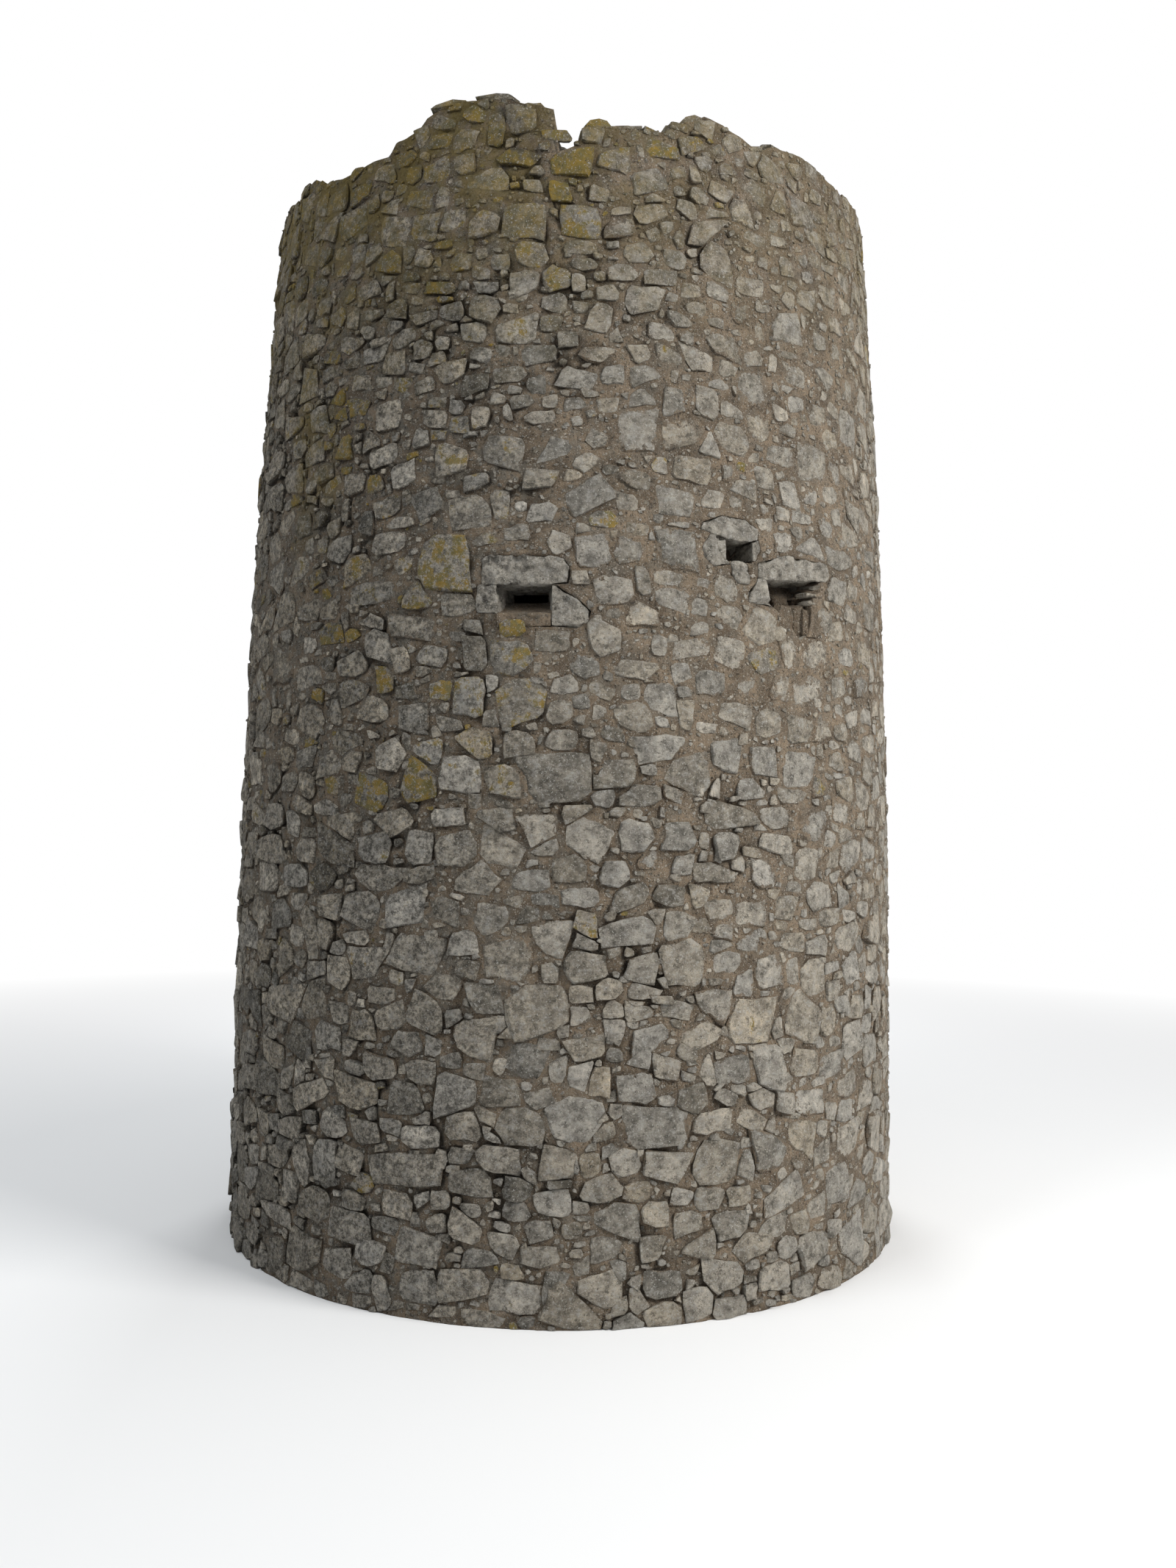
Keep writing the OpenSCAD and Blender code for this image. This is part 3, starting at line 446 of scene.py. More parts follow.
48.2 113 31 17 0 0; -30.7 109 29 35 0 0; 43.4 109 23 14 0 0; 12.1 106 32 19 0 0; -57.9 105 38 19 0 1;
0.3 105 22 19 0 0; 17 103 22 17 0 0; -42 102 35 17 10 0; 23.4 98 19 14 0 0; 5.1 96 29 19 0 0;
27.5 95 27 19 -8 0; -50.3 94 31 15 0 3; -29.3 94 23 14 0 0; -10.4 94 17 15 0 0; 32.7 93 23 15 0 0;
0.3 90 19 17 0 0; 64 90 31 19 0 0; -17.2 86 31 22 0 0; 19.4 86 23 19 0 0; 40.6 86 46 17 8 0;
52.7 86 32 32 0 0; 14.1 85 35 22 0 0; -38.2 82 27 25 0 0; -24.8 82 23 17 0 0; 56.5 82 19 14 0 0;
68.9 78 35 22 0 0; 24.4 77 23 19 0 0; -11 75 19 14 0 0; 3.4 75 22 17 0 0; 7.9 75 15 14 0 0;
-32.7 73 38 27 0 0; -6.9 73 29 19 -15 0; 31 72 32 23 0 0; -45.5 71 46 19 15 0; 47.5 71 27 17 0 0;
59.9 71 35 19 -15 0; -25.5 63 46 27 0 0; -1.4 63 23 17 0 0; 38.6 63 27 17 0 0; 44.1 63 23 19 0 0;
12.4 61 23 19 0 0; 18.2 59 29 19 0 0; -41.3 55 38 15 0 0; -13.8 55 38 27 0 0; 3.4 55 29 17 0 0;
26.2 55 31 17 0 0; 34.4 53 35 19 0 0; -21.4 48 31 22 0 0; -18.6 40 23 17 0 0; 46.8 40 35 23 0 0;
65.4 40 38 23 0 0; 57.2 36 46 31 0 2; -34.8 34 46 32 0 1; -27.6 32 35 22 0 0; -6.9 32 46 23 0 0;
5.5 32 31 23 0 0; 11.7 32 38 23 0 0; 20.7 32 35 22 0 0; 29.6 32 38 23 0 0; -41.3 25 38 22 0 0;
-13.8 25 35 23 0 0; 0 25 42 25 0 0; 38.6 25 35 22 0 0
"""
SURVEY = np.array([row.split() for row in SURVEY_NOTES.split(";")], dtype=float)
SURVEY[:, 1:4] /= 100
print("surveyed stones:", len(SURVEY))

# %% [markdown]
# Stones keep clear of the squared stones round the openings. Each of those is a node of the measured model,
# so its place on the unrolled wall is read from its own vertices near the face. A node with a stone on each
# side of an opening is told apart by the widest empty stretch between its vertices. A leaning stone is cut
# into level bands, so that the rubble comes close to it: a band's width is the widest reach of the lines
# between all pairs of its points.

# %% Find the squared stones on the unrolled wall
OPENINGS = {"front_loophole": ("lintel", "jambs", "sill"), "left_loophole": ("lintel", "jambs", "sill"),
            "broken_loophole": ("lintel", "jambs", "fill"), "small_loophole": ("lintel", "jambs", "sill"),
            "doorway": ("lintel", "jambs", "threshold")}


def unrolled(points):
    """The distance round the base and the height of each point, from its angle about the tower's axis."""
    return np.arctan2(points[..., 0], -points[..., 1]) * BASE_R, points[..., 2]


def level_bands(along, height, count):
    """Boxes (left, right, low, high) of a group of points, cut into level bands."""
    edges = np.linspace(height.min(), height.max(), count + 1)
    middle = ((edges[1:] + edges[:-1]) / 2)[:, None]
    one, two = np.triu_indices(len(along), 1)
    rise = height[two] - height[one]
    part = (middle - height[one]) / np.where(np.abs(rise) < 1e-6, 1e-6, rise)
    reached = np.where((part >= 0) & (part <= 1), along[one] + part * (along[two] - along[one]), np.nan)
    return np.column_stack([np.nanmin(reached, axis=1), np.nanmax(reached, axis=1), edges[:-1], edges[1:]])


blocked = []
for opening, parts in OPENINGS.items():
    whole = []
    for part in parts:
        points = vertex_places(nodes[f"{opening}_{part}"].data)
        radius = np.hypot(points[:, 0], points[:, 1])
        along, height = unrolled(points[radius > face_r(points[:, 2]) - (0.5 if part == "fill" else 0.06)])
        along = np.where(along < -9, along + LAP, along) if opening == "doorway" else along
        order = np.sort(along)
        gap = order[np.argmax(np.diff(order))]
        groups = [along <= gap, along > gap] if part == "jambs" else [along < 99]
        for here in groups:
            places = np.unique(np.column_stack([along[here], height[here]]).round(3), axis=0)
            blocked.append(level_bands(places[:, 0], places[:, 1], 5))
            whole.append([places[:, 0].min(), places[:, 0].max(), places[:, 1].min(), places[:, 1].max()])
    whole = np.array(whole)
    jambs = whole[1:3]
    if "fill" not in parts:
        left, right_end = jambs[:, 0].min() + 0.05, jambs[:, 1].max() - 0.05
        bottom, top = jambs[:, 2].min() + 0.02, max(jambs[:, 3].max(), whole[0, 2])
        blocked.append(np.array([[left, right_end, bottom, top]]))
blocked = np.concatenate(blocked)
print("squared stones and mouths kept clear:", len(blocked))

# %% [markdown]
# Rain and wind have treated the wall unevenly. Low down the mortar has washed out of the joints and every
# stone stands clear, with a dark gap beside it. On the right-hand side and in patches elsewhere the mortar
# still laps over the stones' edges, and only their middles show. One field over the wall says which it is at
# any place, and both the stones and the mortar read it, so they agree where they meet.

# %% Say where the mortar laps over the stones
def turned(along):
    """The angle from the front in degrees, between -180 and 180."""
    return (np.degrees(np.asarray(along) / BASE_R) + 180) % 360 - 180


def lapped(along, height):
    """From 0, washed out, to 1, lapped over: less low down, more to the right, plus patches of two sizes."""
    place = on_wall(along, height, 0.0)
    to_right = between(turned(along), 20, 50) * (1 - between(turned(along), 115, 150))
    to_left = between(-turned(along), 20, 50) * (1 - between(-turned(along), 115, 150))
    steady = 0.40 + 0.14 * between(height, 2.6, 5.0) + 0.28 * to_right - 0.10 * to_left
    steady = steady + 0.06 * between(height, 7.4, 8.8)
    return np.clip(steady + 0.27 * bumps(place, 1.0, 61) + 0.30 * bumps(place, 0.34, 62), 0, 1)


BARE_PATCHES = np.array([
    [16, 7.66, 3.2, .46], [33.4, 8.62, 1.4, .20], [24.4, 7.35, 1.9, .19], [35.1, 6.52, 2.8, .10],
    [-1.7, 8.87, 3.0, .10], [24.2, 7.82, 1.6, .10], [23.2, 4.0, 2.5, .10], [18.6, 4.0, 1.8, .11],
    [33, 3.46, 1.2, .13], [27.4, 3.5, 1.9, .10], [52.5, 4.97, 3.0, .18], [54.7, 4.73, 3.0, .08],
    [0.6, 6.0, 3.4, .06], [11.5, 5.35, 1.6, .12], [4.1, 5.08, 2.0, .08], [-12.6, 6.17, 4.5, .08],
    [10.5, 5.2, 2.8, .06], [17.8, 5.62, 1.9, .07], [15.8, 5.17, 1.5, .07]])


def bare(along, height):
    """True where mortar shows with few stones in it: in listed ellipses, and at the highest slow bumps."""
    place = on_wall(along, height, 0.0)
    patchy = 0.7 * bumps(place, 0.75, 63) + 0.45 * bumps(place, 0.33, 64)
    apart = (turned(along)[..., None] - BARE_PATCHES[:, 0]) / BARE_PATCHES[:, 2]
    above = (np.asarray(height)[..., None] - BARE_PATCHES[:, 1]) / BARE_PATCHES[:, 3]
    listed = (np.hypot(apart, above) < 1).any(axis=-1)
    return listed | (patchy > 0.50 - 0.20 * between(height, 3.0, 6.5))


# %% [markdown]
# Straight-sided outlines look cut with a knife. So the whole drawing of the wall is bent a little before it
# is used: each place is moved by a couple of centimetres along and up, by smooth bumps. Neighbours bend
# together, so nothing overlaps, and near the squared stones the bending fades out.

# %% Bend the drawing of the wall
def off_blocked(along, height):
    """The distance from a place to the nearest squared stone or mouth, in metres."""
    middle = (blocked[:, 0] + blocked[:, 1]) / 2
    side = np.asarray(along)[..., None] - middle
    side = np.abs(side - LAP * np.round(side / LAP)) - (blocked[:, 1] - blocked[:, 0]) / 2
    rise = np.asarray(height)[..., None]
    low = np.maximum(blocked[:, 2] - rise, rise - blocked[:, 3])
    return np.hypot(np.maximum(side, 0), np.maximum(low, 0)).min(axis=-1)


def bend(along, height):
    """How far a place moves: 14 mm bumps 14 cm wide and 8 mm ones 5 cm wide, none at the ground."""
    place = on_wall(along, height, 0.0)
    share = between(off_blocked(along, height), 0.0, 0.12)
    along_by = 0.014 * bumps(place, 0.14, 65) + 0.008 * bumps(place, 0.052, 66)
    up_by = 0.014 * bumps(place, 0.13, 67) + 0.008 * bumps(place, 0.05, 68)
    return along_by * share, up_by * share * between(height, 0.0, 0.15)


# %% [markdown]
# The rest of the wall is laid as a mason lays it: large stones first, then smaller ones wherever they still
# fit, and small pinning stones last. A place is drawn at random and kept if its stone clears those already
# laid. A stone is taken as a leaning ellipse while it is being placed, and its reach in one direction is the
# ellipse's radius there. Low down the stones are larger and closer, higher up they are smaller and the
# mortar between them is wider.

# %% Lay the stones
def reach(half_width, half_height, lean, direction):
    """The ellipse's radius in a direction: a b / root((b cos)^2 + (a sin)^2), from its long axis."""
    angle = direction - lean
    across, along = half_height * np.cos(angle), half_width * np.sin(angle)
    return half_width * half_height / np.sqrt(across ** 2 + along ** 2)


def clash(first, second, room, lap):
    """For each pair, True if the centres are closer than both reaches towards each other, times the room."""
    apart = first[:, None, :2] - second[None, :, :2]
    apart[..., 0] -= lap * np.round(apart[..., 0] / lap)
    distance = np.hypot(apart[..., 0], apart[..., 1])
    near_first, near_second = np.nonzero(distance < 0.55)
    gap, apart = distance[near_first, near_second], apart[near_first, near_second]
    direction = np.arctan2(apart[:, 1], apart[:, 0])
    one, two = first[near_first], second[near_second]
    need = reach(*one[:, 2:5].T, direction) + reach(*two[:, 2:5].T, direction)
    result = np.zeros(distance.shape, dtype=bool)
    result[near_first, near_second] = gap < need * room[near_first]
    return result


def inside_blocked(along, height, half):
    """True where a place lies in a squared stone or a mouth, or too close beside it."""
    return off_blocked(along, height) < half * 0.8


def lay_stones(laid, sizes, lap, low, top_at, room_at, outer, seed):
    """Fills the wall from low up to top_at; sizes holds (smallest, largest, draws, batches) for each."""
    rng = np.random.default_rng(seed)
    for smallest, largest, draws, batches in sizes:
        for _ in range(batches):
            along = rng.uniform(-lap / 2, lap / 2, draws)
            height = rng.uniform(low, TOWER_H, draws)
            half_width = rng.uniform(smallest, largest, draws)
            half_height = half_width * rng.uniform(0.38, 0.92, draws)
            lean = np.radians(rng.normal(0, 8, draws)) + np.pi / 2 * (rng.random(draws) < 0.12)
            new = np.column_stack([along, height, half_width, half_height, lean, np.full(draws, -1.0)])
            fits = (height < top_at(along) - half_height * 0.7) & (height > low + half_height * 0.5)
            if outer:
                fits &= ~inside_blocked(along, height, half_height)
                fits &= ~(bare(along, height) & (rng.random(draws) < 0.85))
                fits &= half_width < 0.245 - 0.012 * height + 0.02 * rng.random(draws)
            new = new[fits]
            if len(laid):
                new = new[~clash(new, laid, room_at(new), lap).any(axis=1)]
            among = clash(new, new, room_at(new), lap)
            new = new[~np.tril(among, -1).any(axis=1)]
            laid = np.vstack([laid, new]) if len(laid) else new
    return laid


def outer_room(stones):
    """How far apart stones lie: 0.9 of touching low down, 1.0 high up, and 0.1 more or less in drifts."""
    drift = bumps(np.column_stack([stones[:, 0], stones[:, 1], stones[:, 1] * 0]), 0.8, 5)
    return 0.90 + 0.10 * between(stones[:, 1], 2.5, 6.5) + 0.10 * drift


surveyed = np.column_stack([
    np.radians(SURVEY[:, 0]) * BASE_R, SURVEY[:, 1], SURVEY[:, 2] / 2, SURVEY[:, 3] / 2,
    np.radians(SURVEY[:, 4]), SURVEY[:, 5]])
surveyed = surveyed[~inside_blocked(surveyed[:, 0], surveyed[:, 1], surveyed[:, 3] * 0.6)]
STONE_SIZES = [(0.17, 0.24, 500, 5), (0.12, 0.19, 900, 12), (0.085, 0.13, 1200, 12)]
PINNING_SIZES = [(0.055, 0.085, 1500, 9), (0.032, 0.055, 2000, 9)]


def top_line(along):
    """The line that the wall's own stones stay under, just below the broken top."""
    return crest(np.degrees(along / BASE_R)) - 0.03


stones = lay_stones(surveyed, STONE_SIZES, LAP, 0.0, top_line, outer_room, True, 11)
large_count = len(stones)
stones = lay_stones(stones, PINNING_SIZES, LAP, 0.0, top_line, outer_room, True, 12)
print("stones laid:", large_count, "and", len(stones) - large_count, "pinning stones")

# %% [markdown]
# A field stone's outline is a rough polygon. Each stone has four faces of its own, roughly level and upright
# as a mason beds it, and two corners knocked off. A block is laid first and smaller stones are fitted round
# it, so a smaller stone is cut by the face of the larger one that parts them best, and the larger one keeps
# its shape. Two stones of about one size share a line between them. The squared stones, the ground and the
# broken top give lines too. A soft minimum over a stone's lines gives its outline in one formula: add up the
# (cosine over distance) of every line to a power, take the root, and turn the result upside down. The higher
# the power, the sharper the corners.

# %% Cut the outlines
FINE = 56


def outlines(stones, lap, low, top_at, outer, joint_at, seed):
    """The radius at 56 even angles: (sum of (cos / t)^p)^(-1/p) over its sides, with slight waves."""
    rng = np.random.default_rng(seed)
    number = len(stones)
    angle = np.arange(FINE) * 2 * np.pi / FINE
    power = rng.uniform(22, 64, number)
    total = np.zeros((number, FINE))
    joint = joint_at(stones)

    def add_side(direction, distance):
        """Adds one straight side per stone at a distance in a direction, for every angle of the outline."""
        facing = np.clip(np.cos(angle + stones[:, 4, None] - direction[:, None]), 0, None)
        total[:] += (facing / np.clip(distance, 0.016, None)[:, None]) ** power[:, None]

    first_corner = rng.integers(0, 4, number)
    face_turn, face_far = np.zeros((number, 6)), np.zeros((number, 6))
    for side in range(6):
        if side < 4:
            own = side * np.pi / 2 + rng.normal(0, 0.22, number)
            far = rng.uniform(0.90, 1.06, number)
        else:
            own = (first_corner + side + 0.5 + (side - 4) * rng.integers(0, 3, number)) * np.pi / 2
            own = own + rng.normal(0, 0.25, number)
            far = rng.uniform(1.0, 1.28, number)
        face_turn[:, side] = own + stones[:, 4]
        face_far[:, side] = far * np.hypot(stones[:, 2] * np.cos(own), stones[:, 3] * np.sin(own))
        add_side(face_turn[:, side], face_far[:, side])
    girth = np.sqrt(stones[:, 2] * stones[:, 3])
    neighbours = 10
    for start in range(0, number, 600):
        rows = slice(start, min(start + 600, number))
        apart = stones[None, :, :2] - stones[rows, None, :2]
        apart[..., 0] -= lap * np.round(apart[..., 0] / lap)
        distance = np.hypot(apart[..., 0], apart[..., 1])
        distance[np.arange(rows.stop - rows.start), np.arange(rows.start, rows.stop)] = 99
        closeness = distance - girth
        nearest = np.argpartition(closeness, neighbours, axis=1)[:, :neighbours]
        pick = np.arange(rows.stop - rows.start)[:, None]
        gap, toward = distance[pick, nearest], np.arctan2(apart[pick, nearest, 1], apart[pick, nearest, 0])
        mine = reach(stones[rows, 2, None], stones[rows, 3, None], stones[rows, 4, None], toward)
        theirs = reach(stones[nearest, 2], stones[nearest, 3], stones[nearest, 4], toward)
        place = gap * mine / (mine + theirs) - joint[rows, None] / 2
        ratio = girth[nearest] / girth[rows, None]
        turn, far = face_turn[nearest], face_far[nearest]
        parted = -gap[..., None] * np.cos(toward[..., None] - turn) - far
        best = parted.argmax(axis=2)[..., None]
        cut = np.maximum(np.take_along_axis(parted, best, axis=2)[..., 0] - joint[rows, None], mine * 0.5)
        cut_turn = np.take_along_axis(turn, best, axis=2)[..., 0] + np.pi
        place = np.where(ratio > 1.15, cut, np.where(ratio < 0.87, 9.0, place))
        toward = np.where(ratio > 1.15, cut_turn, toward)
        facing = np.cos(angle[None, None, :] + stones[rows, 4, None, None] - toward[..., None])
        part = np.clip(facing, 0, None) / np.clip(place, 0.016, None)[..., None]
        total[rows] += (part ** power[rows, None, None]).sum(axis=1)
    if outer:
        for left, right_end, bottom, top in blocked:
            middle = (left + right_end) / 2
            shift = stones[:, 0] - middle
            shift = shift - lap * np.round(shift / lap)
            near_s = np.clip(shift, -(right_end - left) / 2, (right_end - left) / 2)
            near_z = np.clip(stones[:, 1], bottom, top)
            ds, dz = near_s - shift, near_z - stones[:, 1]
            add_side(np.arctan2(dz, ds), np.hypot(ds, dz) - 0.008)
    room_up = np.minimum(top_at(stones[:, 0] - stones[:, 2] * 0.6), top_at(stones[:, 0] + stones[:, 2] * 0.6))
    add_side(np.full(number, np.pi / 2), np.minimum(room_up, top_at(stones[:, 0])) - stones[:, 1])
    add_side(np.full(number, -np.pi / 2), stones[:, 1] - low)
    waves = sum(rng.normal(0, 0.016, (number, 1)) * np.cos(k * angle + rng.uniform(0, 6.28, (number, 1)))
                for k in range(4, 10))
    return total ** (-1 / power[:, None]) * (1 + waves)


def worth_keeping(stones, radii, count):
    """Keeps count points of each outline, close at corners: even steps of turning plus length."""
    angle = np.arange(FINE) * 2 * np.pi / FINE + stones[:, 4, None]
    points = np.stack([radii * np.cos(angle), radii * np.sin(angle)], axis=-1)
    along = np.roll(points, -1, axis=1) - points
    before = np.roll(along, 1, axis=1)
    bend = np.abs(before[..., 0] * along[..., 1] - before[..., 1] * along[..., 0])
    length, length_before = np.hypot(along[..., 0], along[..., 1]), np.hypot(before[..., 0], before[..., 1])
    bend = bend / (length * length_before + 1e-9)
    weight = bend / bend.sum(axis=1, keepdims=True) + 0.9 * length / length.sum(axis=1, keepdims=True)
    steps = np.cumsum(weight, axis=1)
    wanted = (np.arange(count) + 0.5) / count * steps[:, -1:]
    spread = np.arange(count)
    index = (steps[:, :, None] < wanted[:, None, :]).sum(axis=1) - spread
    index = np.minimum(np.maximum.accumulate(np.maximum(index, 0), axis=1), FINE - count) + spread
    return np.take_along_axis(points, index[..., None], axis=1)


def outer_joint(stones):
    """The joint's width: about 10 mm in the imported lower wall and 20 mm higher up."""
    return 0.008 + 0.012 * between(stones[:, 1], 2.0, 6.0)


fine_radii = outlines(stones, LAP, 0.0, top_line, True, outer_joint, 21)
large, small = stones[:large_count], stones[large_count:]
large_shape = worth_keeping(large, fine_radii[:large_count], 12)
small_shape = worth_keeping(small, fine_radii[large_count:], 8)
print("outline radii from", round(float(fine_radii.min()), 3), "to", round(float(fine_radii.max()), 3), "m")

# %% [markdown]
# The mortar shows between the stones, and its depth depends on how far it is to the nearest outline: it lies
# back in narrow joints and comes nearly flush where it is wide. That clearance is worked out once on a fine
# grid of the unrolled wall, stone by stone in small windows, keeping the smallest value at each grid point.

# %% Measure the clearance between the stones
CELL = 0.02
columns, rows_up = int(round(LAP / CELL)), int(round(10.2 / CELL))
cell_s, LOWEST = LAP / columns, -0.2


def clearance_map(field, stones, radii):
    """Lowers each grid point to the least of (distance to a stone's centre less its radius there)."""
    largest = radii.max(axis=1)
    for size_low, size_high in ((0.0, 0.05), (0.05, 0.09), (0.09, 0.16), (0.16, 1.0)):
        chosen = np.flatnonzero((largest >= size_low) & (largest < size_high))
        half = int(math.ceil((min(size_high, largest.max()) + 0.07) / CELL))
        offset = np.arange(-half, half + 1)
        for start in range(0, len(chosen), 400):
            pick = chosen[start:start + 400]
            col = np.round(stones[pick, 0] / cell_s).astype(int)
            row = np.round((stones[pick, 1] - LOWEST) / CELL).astype(int)
            cols = col[:, None, None] + offset[None, None, :]
            rows = row[:, None, None] + offset[None, :, None]
            cols, rows = np.broadcast_arrays(cols, rows)
            ds = cols * cell_s - stones[pick, 0][:, None, None]
            dz = rows * CELL + LOWEST - stones[pick, 1][:, None, None]
            turn = (np.arctan2(dz, ds) - stones[pick, 4][:, None, None]) / (2 * np.pi) * FINE
            left = np.floor(turn).astype(int)
            part = turn - left
            who = pick[:, None, None]
            beyond = radii[who, (left + 1) % FINE]
            radius = radii[who, left % FINE] * (1 - part) + beyond * part
            value = np.hypot(ds, dz) - radius
            good = (rows >= 0) & (rows < rows_up)
            np.minimum.at(field, (rows[good], cols[good] % columns), value[good])
    return field


clearance = clearance_map(np.full((rows_up, columns), 0.25), stones, fine_radii)


def read_map(field, along, height):
    """The field's value at any place, blended from the four grid points round it, and joined up behind."""
    s, z = np.asarray(along) / cell_s, (np.asarray(height) - LOWEST) / CELL
    z = np.clip(z, 0, rows_up - 1.001)
    s0, z0 = np.floor(s).astype(int), np.floor(z).astype(int)
    fs, fz = s - s0, z - z0
    a, b = field[z0, s0 % columns], field[z0, (s0 + 1) % columns]
    c, d = field[z0 + 1, s0 % columns], field[z0 + 1, (s0 + 1) % columns]
    return (a * (1 - fs) + b * fs) * (1 - fz) + (c * (1 - fs) + d * fs) * fz


print("share of the wall that is mortar:", round(float((clearance[15:490] > 0).mean()), 2))

# %% [markdown]
# A stone's body is a few rings of points: one sunk in the mortar, one at the outline, one in from the edge,
# one half way in, and a point in the middle. The face is not flat: it is the lowest of three slanted planes,
# as a stone that was split by hand shows. Where the mortar laps over the stones, the outline ring dips below
# the mortar and the edge is rounder. Hundreds of stones share one mesh, so each stays a few dozen faces.

# %% Shape the stone bodies
def stone_bodies(stones, shape, rings, proud, lap_share, surface, seed):
    """Rings of points, each (share of the outline, share of the face's height), and a middle point."""
    rng = np.random.default_rng(seed)
    number, count = shape.shape[:2]
    slopes = rng.normal(0, 0.26, (3, number, 2)) * (1 - 0.60 * lap_share)[None, :, None]
    slopes[0] *= 0.5
    lifts = np.abs(rng.normal(0, 0.40, (3, number))) * proud
    lifts[0] = 0

    def face_height(at):
        """The lowest of three slanted planes through the stone's face."""
        planes = [proud[:, None] + lifts[k][:, None] + (slopes[k][:, None] * at).sum(axis=-1)
                  for k in range(3)]
        return np.minimum(np.minimum(planes[0], planes[1]), planes[2])

    layers, rims = [], []
    for scale, level in rings:
        inward = np.where(scale >= 1, 1.0, scale - (0.05 * lap_share * (scale > 0.7)))[:, None, None]
        at = shape * inward
        if level >= 0 and scale < 1:
            at = at * (1 + rng.uniform(-0.05, 0.05, (number, count, 1)))
        top = np.maximum(face_height(at), proud[:, None] * 0.25)
        edge = (1 - lap_share)[:, None] * top * 0.7 - 0.003 * lap_share[:, None]
        height = np.full_like(top, -0.045) if level < 0 else (edge if scale >= 1 else top * level)
        layers.append(np.concatenate([at, height[..., None]], axis=-1))
        rims.append(np.full(count, 1.0 if scale >= 1 or level < 0 else 0.66 * scale))
    centre = face_height(np.zeros((number, 1, 2)))
    layers.append(np.concatenate([np.zeros((number, 1, 2)), centre[..., None]], axis=-1))
    local = np.concatenate(layers, axis=1)
    along, height = stones[:, 0, None] + local[..., 0], stones[:, 1, None] + local[..., 1]
    along_by, up_by = bend(along, height)
    points = surface(along + along_by, height + up_by, local[..., 2])
    ring, last = np.arange(count), (len(rings) - 1) * count
    fan = np.stack([last + ring, last + (ring + 1) % count, ring * 0 + len(rings) * count], axis=-1)
    size = local.shape[1]
    faces = [*grid_faces(len(rings), count, True), *fan, ring[::-1]]
    corners, starts = repeated(faces, number, size)
    rim = np.tile(np.concatenate(rims + [[0.0]]), number)
    # Painted shadow with some dirt under each stone: darker towards the lower rim, at random, and less where
    # mortar laps.
    under = np.clip(-local[..., 1] / (np.abs(local[..., 1]).max(axis=1, keepdims=True) + 1e-6), 0, 1)
    under = under * rng.uniform(0, 1, (number, 1)) * (1 - lap_share)[:, None]
    return points.reshape(-1, 3), corners, starts, rim, under.ravel() * (rim > 0.95), size


LARGE_RINGS = [(0.90, -1), (1.0, 0.7), (0.94, 0.98), (0.52, 1.0)]
SMALL_RINGS = [(0.85, -1), (1.0, 0.7), (0.80, 1.0)]


def stone_relief(stones, lap_share, seed):
    """How proud each stone stands: 10 to 50 mm in washed-out joints, a third as much where mortar laps."""
    rng = np.random.default_rng(seed)
    base = (0.006 + 0.036 * rng.random(len(stones)) ** 1.5) * (1 - 0.70 * lap_share)
    return base * np.clip(stones[:, 3] / 0.10, 0.6, 1.15) + 0.009 - 0.003 * lap_share

# %% [markdown]
# Between the stones the mortar is full of chips, flat splinters a few centimetres across that the mason
# pushed in to save lime. They are strewn at random, kept only where the clearance leaves room, and one to
# each square of a grid.

# %% Strew the chips
def strew_chips(seed):
    """Random places with more clearance than the chip's size; the first in each 6 cm square is kept."""
    rng = np.random.default_rng(seed)
    number, square = 70000, 0.064
    along = rng.uniform(-LAP / 2, LAP / 2, number)
    height = rng.uniform(0.03, TOWER_H, number)
    size = rng.uniform(0.014, 0.034, number)
    flat = rng.uniform(0.35, 0.95, number)
    lean = np.radians(rng.normal(0, 30, number))
    keep = read_map(clearance, along, height) > size * (0.5 + 0.5 * flat)
    keep &= (height < top_line(along) - 0.03) & ~inside_blocked(along, height, size)
    chips = np.column_stack([along, height, size, size * flat, lean, np.full(number, -1.0)])[keep]
    code = np.floor(chips[:, 0] / square) * 4096 + np.floor(chips[:, 1] / square)
    return chips[np.unique(code, return_index=True)[1]]


chips = strew_chips(17)
chip_angle = np.arange(6) * np.pi / 3 + np.random.default_rng(18).uniform(-0.4, 0.4, (len(chips), 6))
chip_radii = reach(chips[:, 2, None], chips[:, 3, None], 0.0, chip_angle)
chip_radii = chip_radii * np.random.default_rng(19).uniform(0.75, 1.15, chip_radii.shape)
chip_turn = chip_angle + chips[:, 4, None]
chip_shape = np.stack([chip_radii * np.cos(chip_turn), chip_radii * np.sin(chip_turn)], axis=-1)
print("chips:", len(chips))

# %% [markdown]
# The finishes are recipes of nodes. A small helper keeps them short: each call adds one node, joins up what
# it is given, and hands back the result. Patterns read the piece's own Object coordinates, in metres, so
# their grain is true to scale, and the numbers kept on the vertices say how much lichen a stone has or how
# tight a joint is.

